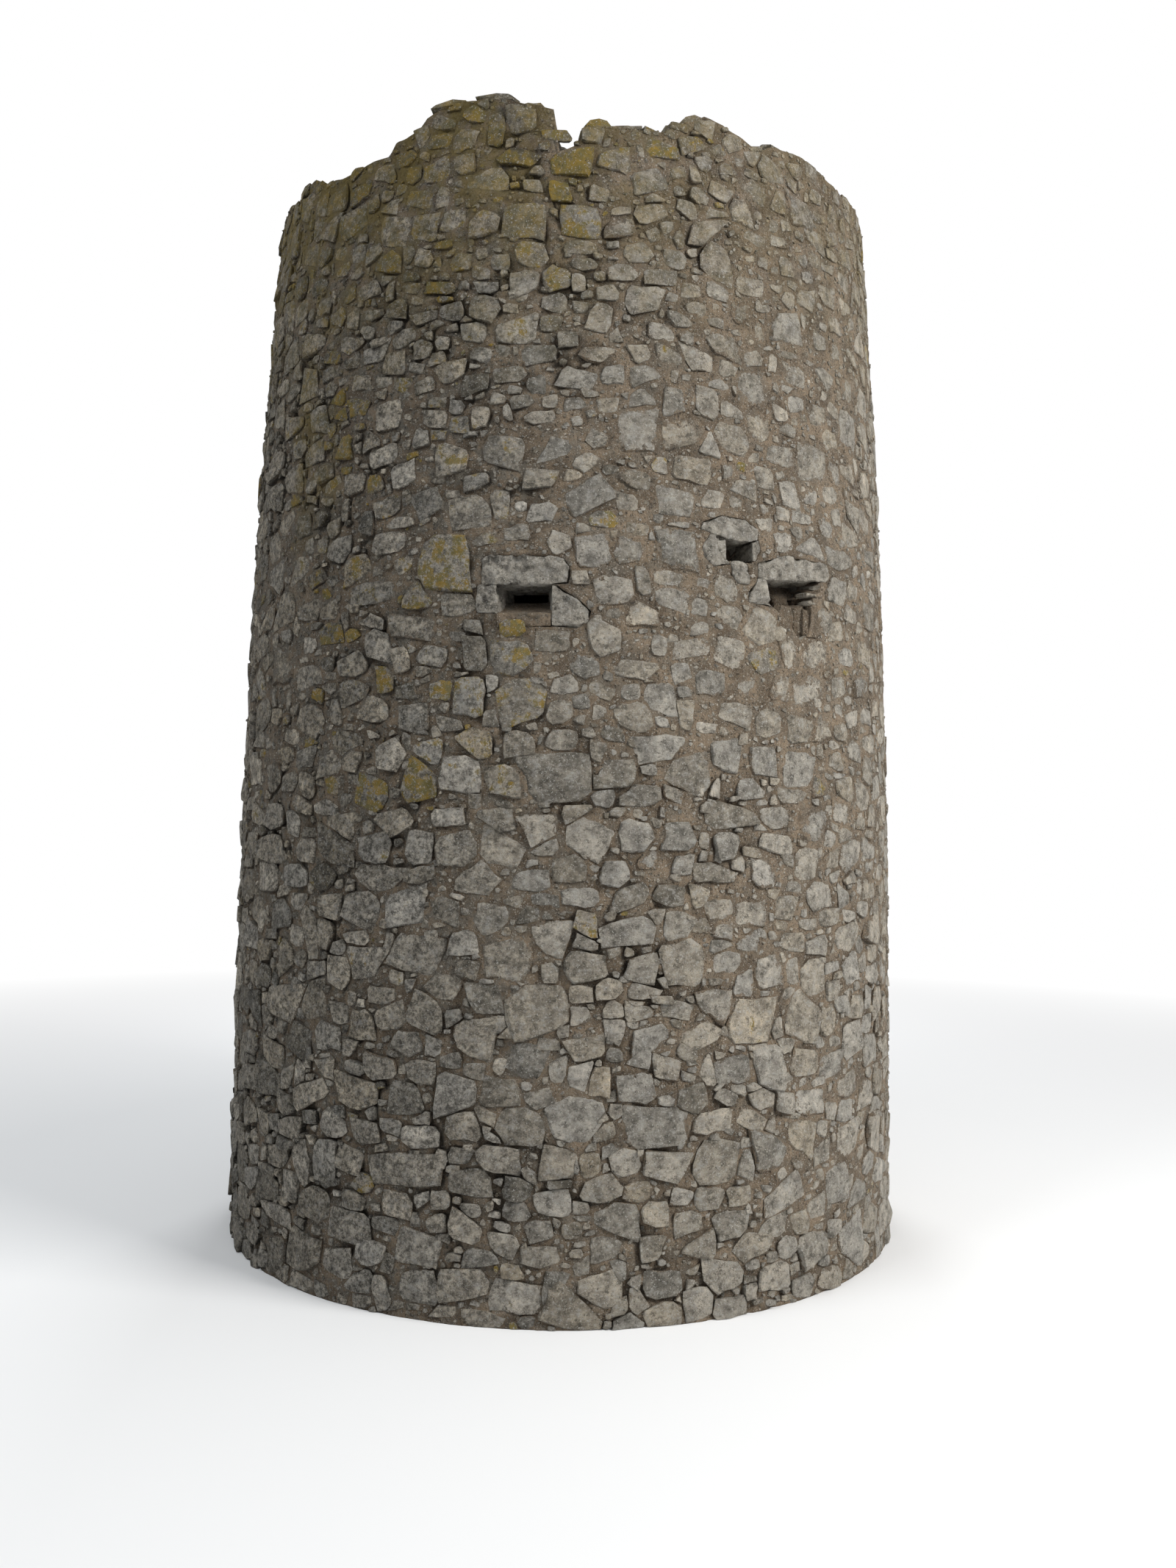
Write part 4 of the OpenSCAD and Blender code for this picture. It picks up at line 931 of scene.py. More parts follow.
# %% A helper for finishes
class Finish:
    """A material under construction. Every method adds one node and returns its main output."""

    def __init__(self, name, roughness):
        """Blender's standard surface, and the piece's own coordinates."""
        self.material = bpy.data.materials.new(name)
        self.material.use_nodes = True
        self.tree = self.material.node_tree
        self.surface = self.tree.nodes["Principled BSDF"]
        self.surface.inputs["Roughness"].default_value = roughness
        self.surface.inputs["Specular IOR Level"].default_value = 0.25
        self.place = self.add("ShaderNodeTexCoord").outputs["Object"]

    def add(self, kind, **settings):
        """One node of a kind, with its settings."""
        node = self.tree.nodes.new(kind)
        for key, value in settings.items():
            setattr(node, key, value)
        return node

    def feed(self, socket, value):
        """Joins a node's output to a socket, or writes a number or colour there."""
        if hasattr(value, "node"):
            self.tree.links.new(value, socket)
        elif hasattr(value, "__len__") and len(value) == 3 and socket.type == "RGBA":
            socket.default_value = (*value, 1)
        else:
            socket.default_value = value

    def noise(self, scale, detail=3.0, rough=0.55, stretch=None):
        """Clouds from 0 to 1, scale to the metre; each finer layer weighs rough times the last."""
        node = self.add("ShaderNodeTexNoise")
        place = self.place
        if stretch:
            turned_place = self.add("ShaderNodeMapping")
            self.feed(turned_place.inputs["Vector"], place)
            turned_place.inputs["Scale"].default_value = stretch
            place = turned_place.outputs[0]
        self.feed(node.inputs["Vector"], place)
        node.inputs["Scale"].default_value = scale
        node.inputs["Detail"].default_value = detail
        node.inputs["Roughness"].default_value = rough
        return node.outputs["Fac"]

    def cells(self, scale, feature="F1", output="Distance"):
        """The distance to the nearest of random points, scale to the metre, or another output."""
        node = self.add("ShaderNodeTexVoronoi", feature=feature)
        self.feed(node.inputs["Vector"], self.place)
        node.inputs["Scale"].default_value = scale
        return node.outputs[output]

    def level(self, value, low, high, to_low=0.0, to_high=1.0):
        """A smooth step: to_low where value is at low, to_high where it is at high."""
        node = self.add("ShaderNodeMapRange", interpolation_type="SMOOTHSTEP")
        for socket, item in zip(node.inputs, (value, low, high, to_low, to_high)):
            self.feed(socket, item)
        return node.outputs[0]

    def sum(self, way, first, second, third=0.0):
        """Arithmetic: the named operation on its numbers."""
        node = self.add("ShaderNodeMath", operation=way)
        for socket, item in zip(node.inputs, (first, second, third)):
            self.feed(socket, item)
        return node.outputs[0]

    def times(self, first, second):
        """First times second."""
        return self.sum("MULTIPLY", first, second)

    def mix(self, share, first, second, way="MIX"):
        """First times (1 - share) plus second times share, or another way to lay second over first."""
        node = self.add("ShaderNodeMix", data_type="RGBA", blend_type=way)
        self.feed(node.inputs[0], share)
        self.feed(node.inputs[6], first)
        self.feed(node.inputs[7], second)
        return node.outputs[2]

    def shade(self, colour, value):
        """A colour times a number."""
        node = self.add("ShaderNodeVectorMath", operation="SCALE")
        self.feed(node.inputs[0], colour)
        self.feed(node.inputs["Scale"], value)
        return node.outputs[0]

    def kept(self, name):
        """The number kept on the piece's vertices under this name."""
        return self.add("ShaderNodeAttribute", attribute_name=name).outputs["Fac"]

    def split(self, value):
        """A colour's red, green and blue: for a cell, three random numbers."""
        node = self.add("ShaderNodeSeparateColor")
        self.feed(node.inputs[0], value)
        return node.outputs

    def part(self, axis):
        """The place's x, y or z, in metres."""
        node = self.add("ShaderNodeSeparateXYZ")
        self.feed(node.inputs[0], self.place)
        return node.outputs[axis]

    def grains(self, scale, size, share):
        """Round grains: where a cell's own random number is under share, the near part of the cell."""
        tone = self.split(self.cells(scale, output="Color"))
        near = self.level(self.cells(scale), size, size * 0.72)
        return self.times(near, self.level(tone[0], share, share - 0.05)), tone[1]

    def colour(self, value):
        """Sends a colour to the surface."""
        self.feed(self.surface.inputs["Base Color"], value)

    def relief(self, height, depth):
        """Tilts the shading as if the surface rose by height times depth."""
        node = self.add("ShaderNodeBump")
        self.feed(node.inputs["Height"], height)
        node.inputs["Distance"].default_value = depth
        node.inputs["Strength"].default_value = 1.0
        self.feed(self.surface.inputs["Normal"], node.outputs[0])


# %% [markdown]
# The mortar is brown lime and gravel, worn back so that grains of every colour stand out of it, with dark
# pits where some have dropped out. It is darker in washed-out joints, which hold dirt and shade, and mossy
# at the top. Its recipe stands apart from its material, because the stones use it too, where mortar laps
# over their edges.

# %% The mortar's finish
def side_growth_and_shade(f):
    """Darker on the shady side, times 0.75, as dark growth and painted shade; lighter on the sunny one, times
    1.26, as painted light; and times 0.88 towards the top.
    """
    return f.times(f.level(f.part(0), -2.7, 2.9, 0.75, 1.26), f.level(f.part(2), 4.0, 9.0, 1.0, 0.88))


def moss_share(f, start):
    """Moss over slow noise: from a height up to the top, more on the shady side, and in a streak."""
    shady = f.level(f.part(0), 1.8, -1.2, 0.35, 1.0)
    high = f.times(f.level(f.part(2), start, 9.4), shady)
    off_streak = f.sum("ABSOLUTE", f.sum("ADD", f.part(0), f.level(f.noise(2.0), 0.3, 0.7, 1.75, 2.10)), 0.0)
    streak = f.times(f.level(off_streak, 0.30, 0.06), f.level(f.part(2), 5.6, 7.2, 0, 0.85))
    return f.times(f.sum("MAXIMUM", high, streak), f.level(f.noise(3.4, 6, 0.68), 0.36, 0.58))


def gritty(f, body):
    """Gravel in three sizes, each grain dark to pale by its cell's random number, and dark pits."""
    coarse, coarse_tone = f.grains(34, 0.36, 0.34)
    middle, middle_tone = f.grains(66, 0.40, 0.55)
    fine, fine_tone = f.grains(140, 0.42, 0.60)
    for there, tone in ((fine, fine_tone), (middle, middle_tone), (coarse, coarse_tone)):
        grain = f.mix(f.level(tone, 0.1, 0.95), (0.075, 0.062, 0.046), (0.440, 0.400, 0.335))
        body = f.mix(f.times(there, 0.78), body, grain)
    pits = f.level(f.noise(38, 5, 0.80), 0.43, 0.35)
    body = f.mix(f.times(pits, 0.90), body, (0.030, 0.024, 0.017))
    height = f.sum("MULTIPLY_ADD", middle, 0.25, f.times(coarse, 0.40))
    height = f.sum("MULTIPLY_ADD", f.noise(21, 6, 0.80), 1.7, height)
    return body, f.sum("MULTIPLY_ADD", pits, -0.55, height)


def mortar_recipe(f):
    """Two browns in clouds, with greyer weathered stretches, gravel, and moss near the top."""
    body = f.mix(f.level(f.noise(4.5, 5, 0.62), 0.36, 0.64), (0.122, 0.091, 0.061), (0.258, 0.196, 0.133))
    greyer = f.times(f.level(f.noise(11, 5, 0.65), 0.45, 0.62), f.level(f.part(0), 1.8, -1.5, 0.35, 0.9))
    body = f.mix(greyer, body, (0.150, 0.139, 0.115))
    body, height = gritty(f, body)
    # Darker on the shady side and lighter on the sunny one: growth, with painted shade and painted light.
    body = f.shade(body, side_growth_and_shade(f))
    return f.mix(f.times(moss_share(f, 7.2), 0.80), body, (0.130, 0.095, 0.020)), height


def mortar_finish(name):
    """The mortar's recipe, darkened in washed-out joints by dirt and painted shade kept on the vertices."""
    f = Finish(name, 0.97)
    body, height = mortar_recipe(f)
    # Narrow washed-out joints are darkened, partly as dirt and partly as painted shade.
    f.colour(f.mix(f.times(f.kept("dirt_and_shade"), 0.6), body, (0.030, 0.024, 0.018)))
    f.relief(height, 0.030)
    return f.material


# %% [markdown]
# The stones are hard, pale limestone, warm grey where it is clean, speckled white and dark by crusts of
# lichen a few millimetres across, with ochre and yellow lichen in palm-sized patches. The side that gets
# less sun is darker and olive, partly from growth and partly as painted shade, and the sunny side is painted
# lighter; the top is mossy. Colour comes from a tint kept for each stone, then broad clouds, then patches,
# then specks, as a painter works from large to small. On the shady side the fine clouds get more contrast,
# as painted shade in hollows and painted light on bumps. Mortar then laps over each stone from its rim
# inwards, with a ragged edge, as far as the stone's own number says.

# %% The rubble stone's finish
def limestone(f, dark, pale):
    """A dark to pale tint, times clouds, then crusts, specks and pits; gives the colour and the relief."""
    base = f.mix(f.kept("tint"), dark, pale)
    stone = f.mix(f.kept("warm"), base, (1.0, 0.90, 0.75), "MULTIPLY")
    stone = f.shade(stone, f.level(f.noise(8, 4, 0.62), 0.28, 0.74, 0.56, 1.34))
    # Painted shade and painted light: on the shady side the fine clouds darken and lighten more, as deep
    # relief would under the light.
    shady = f.level(f.part(0), 1.2, -1.8)
    low, high = f.level(shady, 0, 1, 0.82, 0.34), f.level(shady, 0, 1, 1.18, 1.85)
    stone = f.shade(stone, f.level(f.noise(25, 6, 0.80), 0.38, 0.62, low, high))
    ridged = f.noise(13, 8, 0.80, (1, 1, 1.25))
    stone = f.mix(f.level(ridged, 0.51, 0.62, 0, 0.60), stone, (0.440, 0.425, 0.388))
    stone = f.mix(f.level(ridged, 0.475, 0.39, 0, 0.66), stone, (0.055, 0.050, 0.039))
    patches = f.sum("ADD", f.noise(8, 8, 0.74), f.times(f.kept("lichen"), 0.34))
    ochre = f.mix(f.level(f.noise(19, 5, 0.65), 0.36, 0.62), (0.330, 0.210, 0.026), (0.180, 0.150, 0.045))
    stone = f.mix(f.level(patches, 0.73, 0.81, 0, 0.90), stone, ochre)
    moss = f.mix(f.level(f.noise(12, 5, 0.7), 0.42, 0.60), (0.145, 0.122, 0.046), (0.300, 0.205, 0.036))
    stone = f.mix(f.times(moss_share(f, 6.8), 0.84), stone, moss)
    stone = f.mix(f.level(f.noise(60, 3, 0.70), 0.58, 0.65, 0, 0.75), stone, (0.54, 0.52, 0.47))
    pits = f.level(f.noise(46, 5, 0.78), 0.41, 0.33)
    stone = f.mix(f.times(pits, 0.85), stone, (0.040, 0.035, 0.027))
    height = f.sum("MULTIPLY_ADD", ridged, 2.2, f.times(f.noise(30, 5, 0.80), 0.6))
    # Darker on the shady side and lighter on the sunny one: growth, with painted shade and painted light.
    return f.shade(stone, side_growth_and_shade(f)), f.sum("MULTIPLY_ADD", pits, -0.30, height)


def rubble_finish(name):
    """Limestone, with the mortar's recipe where rim + cover + noise passes a level, and dirt with painted
    shadow under the stones.
    """
    f = Finish(name, 0.93)
    stone, stone_height = limestone(f, (0.112, 0.104, 0.085), (0.465, 0.438, 0.388))
    mortar, mortar_height = mortar_recipe(f)
    spread = f.sum("MULTIPLY_ADD", f.kept("cover"), 0.55, f.times(f.kept("rim"), 0.90))
    ragged = f.sum("MULTIPLY_ADD", f.noise(5.5, 3, 0.6), 1.3, f.times(f.noise(16, 6, 0.74), 1.4))
    lap = f.level(f.sum("ADD", spread, ragged), 2.44, 2.53)
    body = f.mix(lap, stone, mortar)
    # Dirt and painted shadow kept on the vertices darken the rims under the stones.
    f.colour(f.mix(f.level(f.kept("dirt_and_shade"), 0.0, 0.8, 0, 0.85), body, (0.026, 0.022, 0.017)))
    height = f.sum("MULTIPLY_ADD", f.sum("SUBTRACT", mortar_height, stone_height), lap, stone_height)
    f.relief(f.sum("MULTIPLY_ADD", lap, 0.25, height), 0.030)
    return f.material


# %% [markdown]
# Inside, the walls, vaults and floors keep the measured model's shapes. Rough rubble is drawn in their
# finish as stretched cells with brown joints, and the floors are worn lime with chips of stone.

# %% The finishes inside
def room_finish(name):
    """Cells stretched along the wall as stones, each with its own grey, and brown joints between."""
    f = Finish(name, 0.95)
    flat = f.add("ShaderNodeMapping")
    f.feed(flat.inputs["Vector"], f.place)
    flat.inputs["Scale"].default_value = (1.0, 1.0, 1.5)
    bent = f.add("ShaderNodeVectorMath", operation="MULTIPLY_ADD")
    wander = f.add("ShaderNodeTexNoise")
    f.feed(wander.inputs["Vector"], f.place)
    wander.inputs["Scale"].default_value = 5
    f.feed(bent.inputs[0], wander.outputs["Color"])
    bent.inputs[1].default_value = (0.12, 0.12, 0.12)
    f.feed(bent.inputs[2], flat.outputs[0])
    f.place = bent.outputs[0]
    edge_gap = f.cells(4.6, "DISTANCE_TO_EDGE")
    tone = f.split(f.cells(4.6, output="Color"))
    stone = f.mix(tone[0], (0.14, 0.13, 0.105), (0.32, 0.30, 0.255))
    stone = f.mix(f.level(f.noise(30, 5, 0.7), 0.35, 0.65), stone, (0.13, 0.115, 0.09))
    mortar = f.mix(f.noise(60, 4), (0.11, 0.085, 0.06), (0.24, 0.19, 0.14))
    joint = f.level(edge_gap, 0.10, 0.04)
    f.colour(f.mix(joint, stone, mortar))
    height = f.sum("MULTIPLY_ADD", joint, -1.0, f.times(f.noise(40, 5, 0.7), 0.3))
    f.relief(height, 0.03)
    return f.material


def paving_finish(name):
    """Worn lime with chips: two sizes of grain, dark wear in broad clouds, and a few fine cracks."""
    f = Finish(name, 0.94)
    body = f.mix(f.noise(3, 5, 0.6), (0.16, 0.14, 0.11), (0.31, 0.28, 0.235))
    body = f.mix(f.level(f.noise(70, 4, 0.7), 0.45, 0.6, 0, 0.6), body, (0.15, 0.13, 0.10))
    grain, tone = f.grains(30, 0.30, 0.6)
    body = f.mix(f.times(grain, 0.7), body, f.mix(tone, (0.14, 0.125, 0.10), (0.42, 0.39, 0.34)))
    moss = f.level(f.noise(1.7, 5, 0.65), 0.50, 0.66, 0, 0.7)
    body = f.mix(moss, body, (0.10, 0.095, 0.035))
    cracked = f.level(f.noise(2.3, 3), 0.50, 0.62, 0, 0.5)
    crack = f.level(f.cells(1.6, "DISTANCE_TO_EDGE"), 0.012, 0.004, 0, cracked)
    f.colour(f.mix(crack, body, (0.07, 0.06, 0.04)))
    f.relief(f.sum("MULTIPLY_ADD", crack, -0.6, f.noise(40, 5, 0.7)), 0.014)
    return f.material


# %% [markdown]
# The squared stones are the same limestone, so they share the rubble's finish. The sills and the filled-in
# loophole are mortar with brown earth on it.

# %% The finish of the sills
def earth_finish(name):
    """The mortar's recipe, with brown earth over a third of it in clouds."""
    f = Finish(name, 0.97)
    body, height = mortar_recipe(f)
    f.colour(f.mix(f.level(f.noise(6, 5, 0.6), 0.35, 0.65, 0.0, 0.35), body, (0.170, 0.130, 0.090)))
    f.relief(height, 0.03)
    return f.material


stone_look = rubble_finish("field_limestone")
mortar_look = mortar_finish("gravelly_lime_mortar")
room_look = room_finish("rough_rubble_inside")
paving_look = paving_finish("worn_lime_paving")
earth_look = earth_finish("earthy_sill_mortar")
for name, finish in {"ground_floor": paving_look, "upper_floor": paving_look, "terrace_floor": paving_look,
                     "lower_vault": room_look, "upper_vault": room_look}.items():
    nodes[name].data.materials.clear()
    nodes[name].data.materials.append(finish)
print("finishes:", len(bpy.data.materials))

# %% [markdown]
# The wall behind the stones is mortar, and it has the real openings, ledges and rooms cut through it. The
# measured segments have those already, so each wall piece starts as a copy of one: its outer skin is pushed
# out a little, and it is then cut to a second closed shape whose outer face is the mortar's real, uneven
# surface. What both shapes share is a wall with true openings and a rough face. The rough face is a function
# of the place on the wall.

# %% Work out the mortar's surface
def drawn_at(along, height):
    """Where on the unbent drawing a place of the wall comes from, and the clearance there."""
    along_by, up_by = bend(along, height)
    return read_map(clearance, along - along_by, height - up_by)


def washed_pocket(along, height):
    """From 0 to 1 in pockets 10 cm across, where rain has washed a joint out; fewer where mortar laps."""
    start = 0.5 * lapped(along, height) - 0.30
    return between(bumps(on_wall(along, height, 0.0), 0.12, 37), start, start + 0.5)


def mortar_depth(along, height):
    """Back by 46 mm in washed-out pockets and 2 mm where lapped, less as the clearance grows; plus bumps."""
    gap = drawn_at(along, height)
    place = on_wall(along, height, 0.0)
    share = lapped(along, height)
    joint = -(0.046 - 0.044 * between(share, 0.1, 0.75)) * (1 - between(gap, 0.004, 0.045))
    pocket = washed_pocket(along, height)
    joint = joint * (0.12 + 0.88 * pocket) + 0.003 * (1 - pocket) * between(share, 0.20, 0.60)
    buried = -0.008 * between(-gap, 0.0, 0.03)
    rough = 0.0075 * bumps(place, 0.17, 32) + 0.006 * bumps(place, 0.08, 33)
    return joint + buried + rough * (0.4 + 0.6 * between(gap, -0.02, 0.02)) + 0.002


def joint_dirt_and_shade(along, height):
    """Dirt and painted shade in a joint: 1 where it is narrow and washed out, none where it is wide or lapped
    over.
    """
    gap = drawn_at(along, height)
    narrow = 1 - between(gap, 0.0, 0.025)
    return narrow * (1 - between(lapped(along, height), 0.15, 0.60)) * washed_pocket(along, height)


COLUMN, ROW, FIRST_ROW = LAP / 504, 0.04, -0.07


def rough_ring(name, middle, low, high):
    """A closed block of the ring: a rough outer grid, a plain inner face 1 m from the axis, and flat ends."""
    half = LAP / 16 + 0.05
    j = np.arange(math.floor((middle - half) / COLUMN), math.ceil((middle + half) / COLUMN) + 1)
    k = np.arange(math.floor((low - 0.1 - FIRST_ROW) / ROW), math.ceil((high + 0.1 - FIRST_ROW) / ROW) + 1)
    height, along = np.meshgrid(FIRST_ROW + k * ROW, j * COLUMN, indexing="ij")
    skin = on_wall(along, height, mortar_depth(along, height))
    turn = j * COLUMN / BASE_R
    inner = on_ring(turn[None, :], 1.0, height[[0, -1], :1])
    points = np.concatenate([skin.reshape(-1, 3), inner.reshape(-1, 3)])
    wide, tall = len(j), len(k)
    base, roof = tall * wide, tall * wide + wide
    c = np.arange(wide - 1)
    under = np.stack([base + c, base + c + 1, c + 1, c], axis=-1)
    over_at = (tall - 1) * wide + c
    over = np.stack([over_at, over_at + 1, roof + c + 1, roof + c], axis=-1)
    inside = np.stack([roof + c, roof + c + 1, base + c + 1, base + c], axis=-1)
    quads = np.concatenate([grid_faces(tall, wide, False), under, over, inside])
    left = np.concatenate([[base], [roof], np.arange(tall)[::-1] * wide])
    right_side = np.concatenate([[base + wide - 1], np.arange(tall) * wide + wide - 1, [roof + wide - 1]])
    corners = np.concatenate([quads.ravel(), left, right_side])
    starts = np.concatenate([np.arange(len(quads)) * 4, [len(quads) * 4, len(quads) * 4 + len(left)]])
    return bpy.data.objects.new(name, mesh_from(name, points, corners, starts))


def merged_copy(node_name):
    """A copy of a node's mesh with its loose triangles joined at their shared corners."""
    mesh = nodes[node_name].data.copy()
    shape = bmesh.new()
    shape.from_mesh(mesh)
    bmesh.ops.remove_doubles(shape, verts=shape.verts, dist=0.00002)
    shape.to_mesh(mesh)
    shape.free()
    mesh.materials.clear()
    return mesh


def finished_mesh(thing, name, others=()):
    """The mesh that an object's modifiers give, under a new name; what it used is removed."""
    seen_by = bpy.context.evaluated_depsgraph_get()
    mesh = bpy.data.meshes.new_from_object(thing.evaluated_get(seen_by), depsgraph=seen_by)
    mesh.name = name
    for used in (thing, *others):
        old = used.data
        bpy.data.objects.remove(used)
        bpy.data.meshes.remove(old)
    return mesh


def common_shape(first, second, name):
    """The part of space that two closed shapes share, as a new mesh."""
    for thing in (first, second):
        bpy.context.scene.collection.objects.link(thing)
    tool = first.modifiers.new("cut", "BOOLEAN")
    tool.operation = "INTERSECT"
    tool.object = second
    tool.solver = "EXACT"
    return finished_mesh(first, name, [second])


def triangles(piece):
    """How many triangles a piece has: each face of n corners counts n - 2."""
    sizes = np.empty(len(piece.data.polygons), dtype=np.int32)
    piece.data.polygons.foreach_get("loop_total", sizes)
    return int((sizes - 2).sum())


# %% [markdown]
# With those helpers the walls take one loop over storeys and sectors. After the cut, faces that lie deeper
# than 9 cm behind the wall's face belong to the rooms and openings, and they get the inside finish.

# %% Cut the wall pieces
sector_middles = {name: ((45 * index + 180) % 360 - 180) / 360 * LAP for index, name in enumerate(SECTORS)}
added = 0
for storey, low, high in (("lower", 0.0, FLOOR_LINE), ("upper", FLOOR_LINE, PARAPET_FOOT)):
    for name, middle in sector_middles.items():
        node_name = f"{storey}_wall_{name}"
        mesh = merged_copy(node_name)
        points = vertex_places(mesh)
        radius = np.hypot(points[:, 0], points[:, 1])
        outside = radius > face_r(points[:, 2]) - 0.002
        points[outside, :2] *= (1 + 0.06 / radius[outside])[:, None]
        mesh.vertices.foreach_set("co", points.astype(np.float32).ravel())
        smooth_wall = bpy.data.objects.new("smooth_wall", mesh)
        rough = rough_ring("rough_wall", middle, low, high)
        shape = common_shape(smooth_wall, rough, f"mortared_{node_name}")
        along, height = unrolled(vertex_places(shape))
        # Dirt and painted shade for the narrow washed-out joints.
        note(shape, "dirt_and_shade", joint_dirt_and_shade(along, height))
        piece = finish_piece(shape.name, shape, [mortar_look, room_look], 50)
        centre = face_middles(shape)
        inner = np.hypot(centre[:, 0], centre[:, 1]) < face_r(centre[:, 2]) - 0.09
        shape.polygons.foreach_set("material_index", inner.astype(np.int32))
        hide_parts(node_name)
        added += triangles(piece)
print("wall pieces: 16 with", added, "triangles")

# %% [markdown]
# The parapet is the same mortar, but nothing is cut through it, so it needs no Boolean. It is one closed
# profile carried round the sector: up the rough outer face, over the broken top, down the inner face and
# back underneath. The model's top was cut straight across each sector, so the line of the top is read where
# that cut meets the face.

# %% Build the parapet's mortar
TOP_R = BASE_R - BATTER


def parapet_block(name, middle):
    """At each angle a closed profile of 55 points; its top lies 5 cm under the broken line, with bumps."""
    centre = middle / LAP * 360
    turns = np.concatenate([np.arange(-22.5, 22.51, 0.75) + centre, BROKEN_TOP[:, 0]])
    turns = np.unique(turns[np.abs(turns - centre) <= 22.5].round(4))
    turn = np.radians(turns)[:, None]

    def top(radius):
        """The broken line's height at a radius, from where the sector's straight cut meets the face."""
        across = radius * np.sin(turn - math.radians(centre)) / TOP_R
        return crest(centre + np.degrees(np.arcsin(np.clip(across, -1, 1)))) - 0.05

    along = turn * BASE_R
    rise, over = np.linspace(0, 1, 26)[None, :], np.linspace(0, 1, 10)[None, 1:-1]
    drop, back = np.linspace(0, 1, 15)[None, :], np.linspace(0, 1, 6)[None, 1:-1]
    outer_z = PARAPET_FOOT + rise * (top(TOP_R) - PARAPET_FOOT)
    outer_r = face_r(outer_z) + mortar_depth(along + 0 * rise, outer_z)
    inner_r = PARAPET_INNER_R + 0 * drop + 0 * turn
    inner_z = PARAPET_FOOT + (1 - drop) * (top(PARAPET_INNER_R) - PARAPET_FOOT)
    over_r = outer_r[:, -1:] * (1 - over) + PARAPET_INNER_R * over
    back_r = PARAPET_INNER_R * (1 - back) + outer_r[:, :1] * back
    radius = np.concatenate([outer_r, over_r, inner_r, back_r], axis=1)
    height = np.concatenate([outer_z, top(over_r), inner_z, PARAPET_FOOT + 0 * back_r], axis=1)
    points = on_ring(turn, radius, height)
    rough = 0.016 * bumps(points, 0.16, 35) + 0.010 * bumps(points, 0.07, 36)
    first, last = outer_r.shape[1] - 1, outer_r.shape[1] + over_r.shape[1]
    points[:, first:last + 1, 2] += rough[:, first:last + 1]
    inward = rough[:, last:last + inner_r.shape[1] - 1, None] - 0.01
    points[:, last:last + inner_r.shape[1] - 1, :2] *= 1 - inward / PARAPET_INNER_R
    number, count = height.shape
    quads = grid_faces(number, count, True)[:, [0, 3, 2, 1]]
    ends = np.concatenate([np.arange(count), (number * count - 1) - np.arange(count)])
    corners = np.concatenate([quads.ravel(), ends])
    starts = np.concatenate([np.arange(len(quads)) * 4, len(quads) * 4 + np.array([0, count])])
    mesh = mesh_from(name, points.reshape(-1, 3), corners, starts)
    along, height = unrolled(points.reshape(-1, 3))
    outer = np.hypot(points[..., 0], points[..., 1]).ravel() > TOP_R - 0.15
    # The outer face gets the joints' dirt and painted shade; the rest gets none.
    note(mesh, "dirt_and_shade", np.where(outer, joint_dirt_and_shade(along, height), 0.0))
    return mesh


for name, middle in sector_middles.items():
    piece = finish_piece(f"mortared_parapet_{name}", parapet_block(f"mortared_parapet_{name}", middle),
                         [mortar_look], 50)
    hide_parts(f"parapet_{name}")
    added += triangles(piece)
print("with the parapet:", added, "triangles")

# %% [markdown]
# The stones are set into the mortar sector by sector, the large ones and the pinnings of one sector and
# storey in one piece. Each keeps its own tint: paler on the sunny side and darker and more olive on the
# other, partly from weathering and partly as painted light and shade, and mossy at the top.

# %% Set the stones
def stone_tints(stones, seed):
    """Tint, warmth and lichen of each stone: a random share, moved by the side it faces and its height."""
    rng = np.random.default_rng(seed)
    degrees = turned(stones[:, 0])
    shady = between(-degrees, 2, 45) * (1 - between(-degrees, 110, 150))
    sunny = between(degrees, 5, 40) * (1 - between(degrees, 120, 160))
    high = between(stones[:, 1], 8.2, 9.4)
    low = 1 - between(stones[:, 1], 1.5, 4.5)
    tint = 0.54 + rng.normal(0, 1, len(stones)) * (0.18 - 0.06 * sunny + 0.05 * shady)
    # Stones on the shady side are darker and those on the sunny side paler: partly growth, partly painted
    # shade and painted light.
    tint = tint - 0.09 * shady + 0.10 * sunny - 0.14 * high + 0.04 * low
    warm = np.clip(rng.normal(0.42, 0.20, len(stones)) + 0.25 * shady * (1 - low) + 0.30 * high, 0.12, 1)
    drift = 0.5 + 0.5 * bumps(on_wall(stones[:, 0], stones[:, 1], 0), 0.9, 41)
    odds = 0.06 + 0.42 * high + 0.36 * between(-degrees, -12, 20) * between(stones[:, 1], 3.6, 6.0) * drift
    odds = odds * (1 - 0.7 * sunny) * (1 - 0.5 * low)
    lichen = np.where(rng.random(len(stones)) < odds, rng.uniform(0.3, 0.9, len(stones)), 0.0)
    lichen = np.where(stones[:, 5] >= 0, np.maximum(stones[:, 5] / 9, lichen * 0.4), lichen)
    return np.clip(tint, 0.04, 1), warm, np.clip(lichen, 0, 1)


def set_stones(name, stones, shape, rings, proud, share, surface, seed):
    """Builds the stones' bodies, keeps each one's looks on its vertices, and makes them one piece."""
    points, corners, starts, rim, dirt_and_shade, size = stone_bodies(stones, shape, rings, proud, share, surface, seed)
    points[:, 2] = np.maximum(points[:, 2], 0.0)
    mesh = mesh_from(name, points, corners, starts)
    tint, warm, lichen = stone_tints(stones, seed + 1)
    cover = share + np.random.default_rng(seed + 2).normal(0, 0.24, len(stones))
    for title, values in (("tint", tint), ("warm", warm), ("lichen", lichen), ("cover", cover)):
        note(mesh, title, np.repeat(values, size))
    note(mesh, "rim", rim)
    note(mesh, "dirt_and_shade", dirt_and_shade)
    return finish_piece(name, mesh, [stone_look], 16)


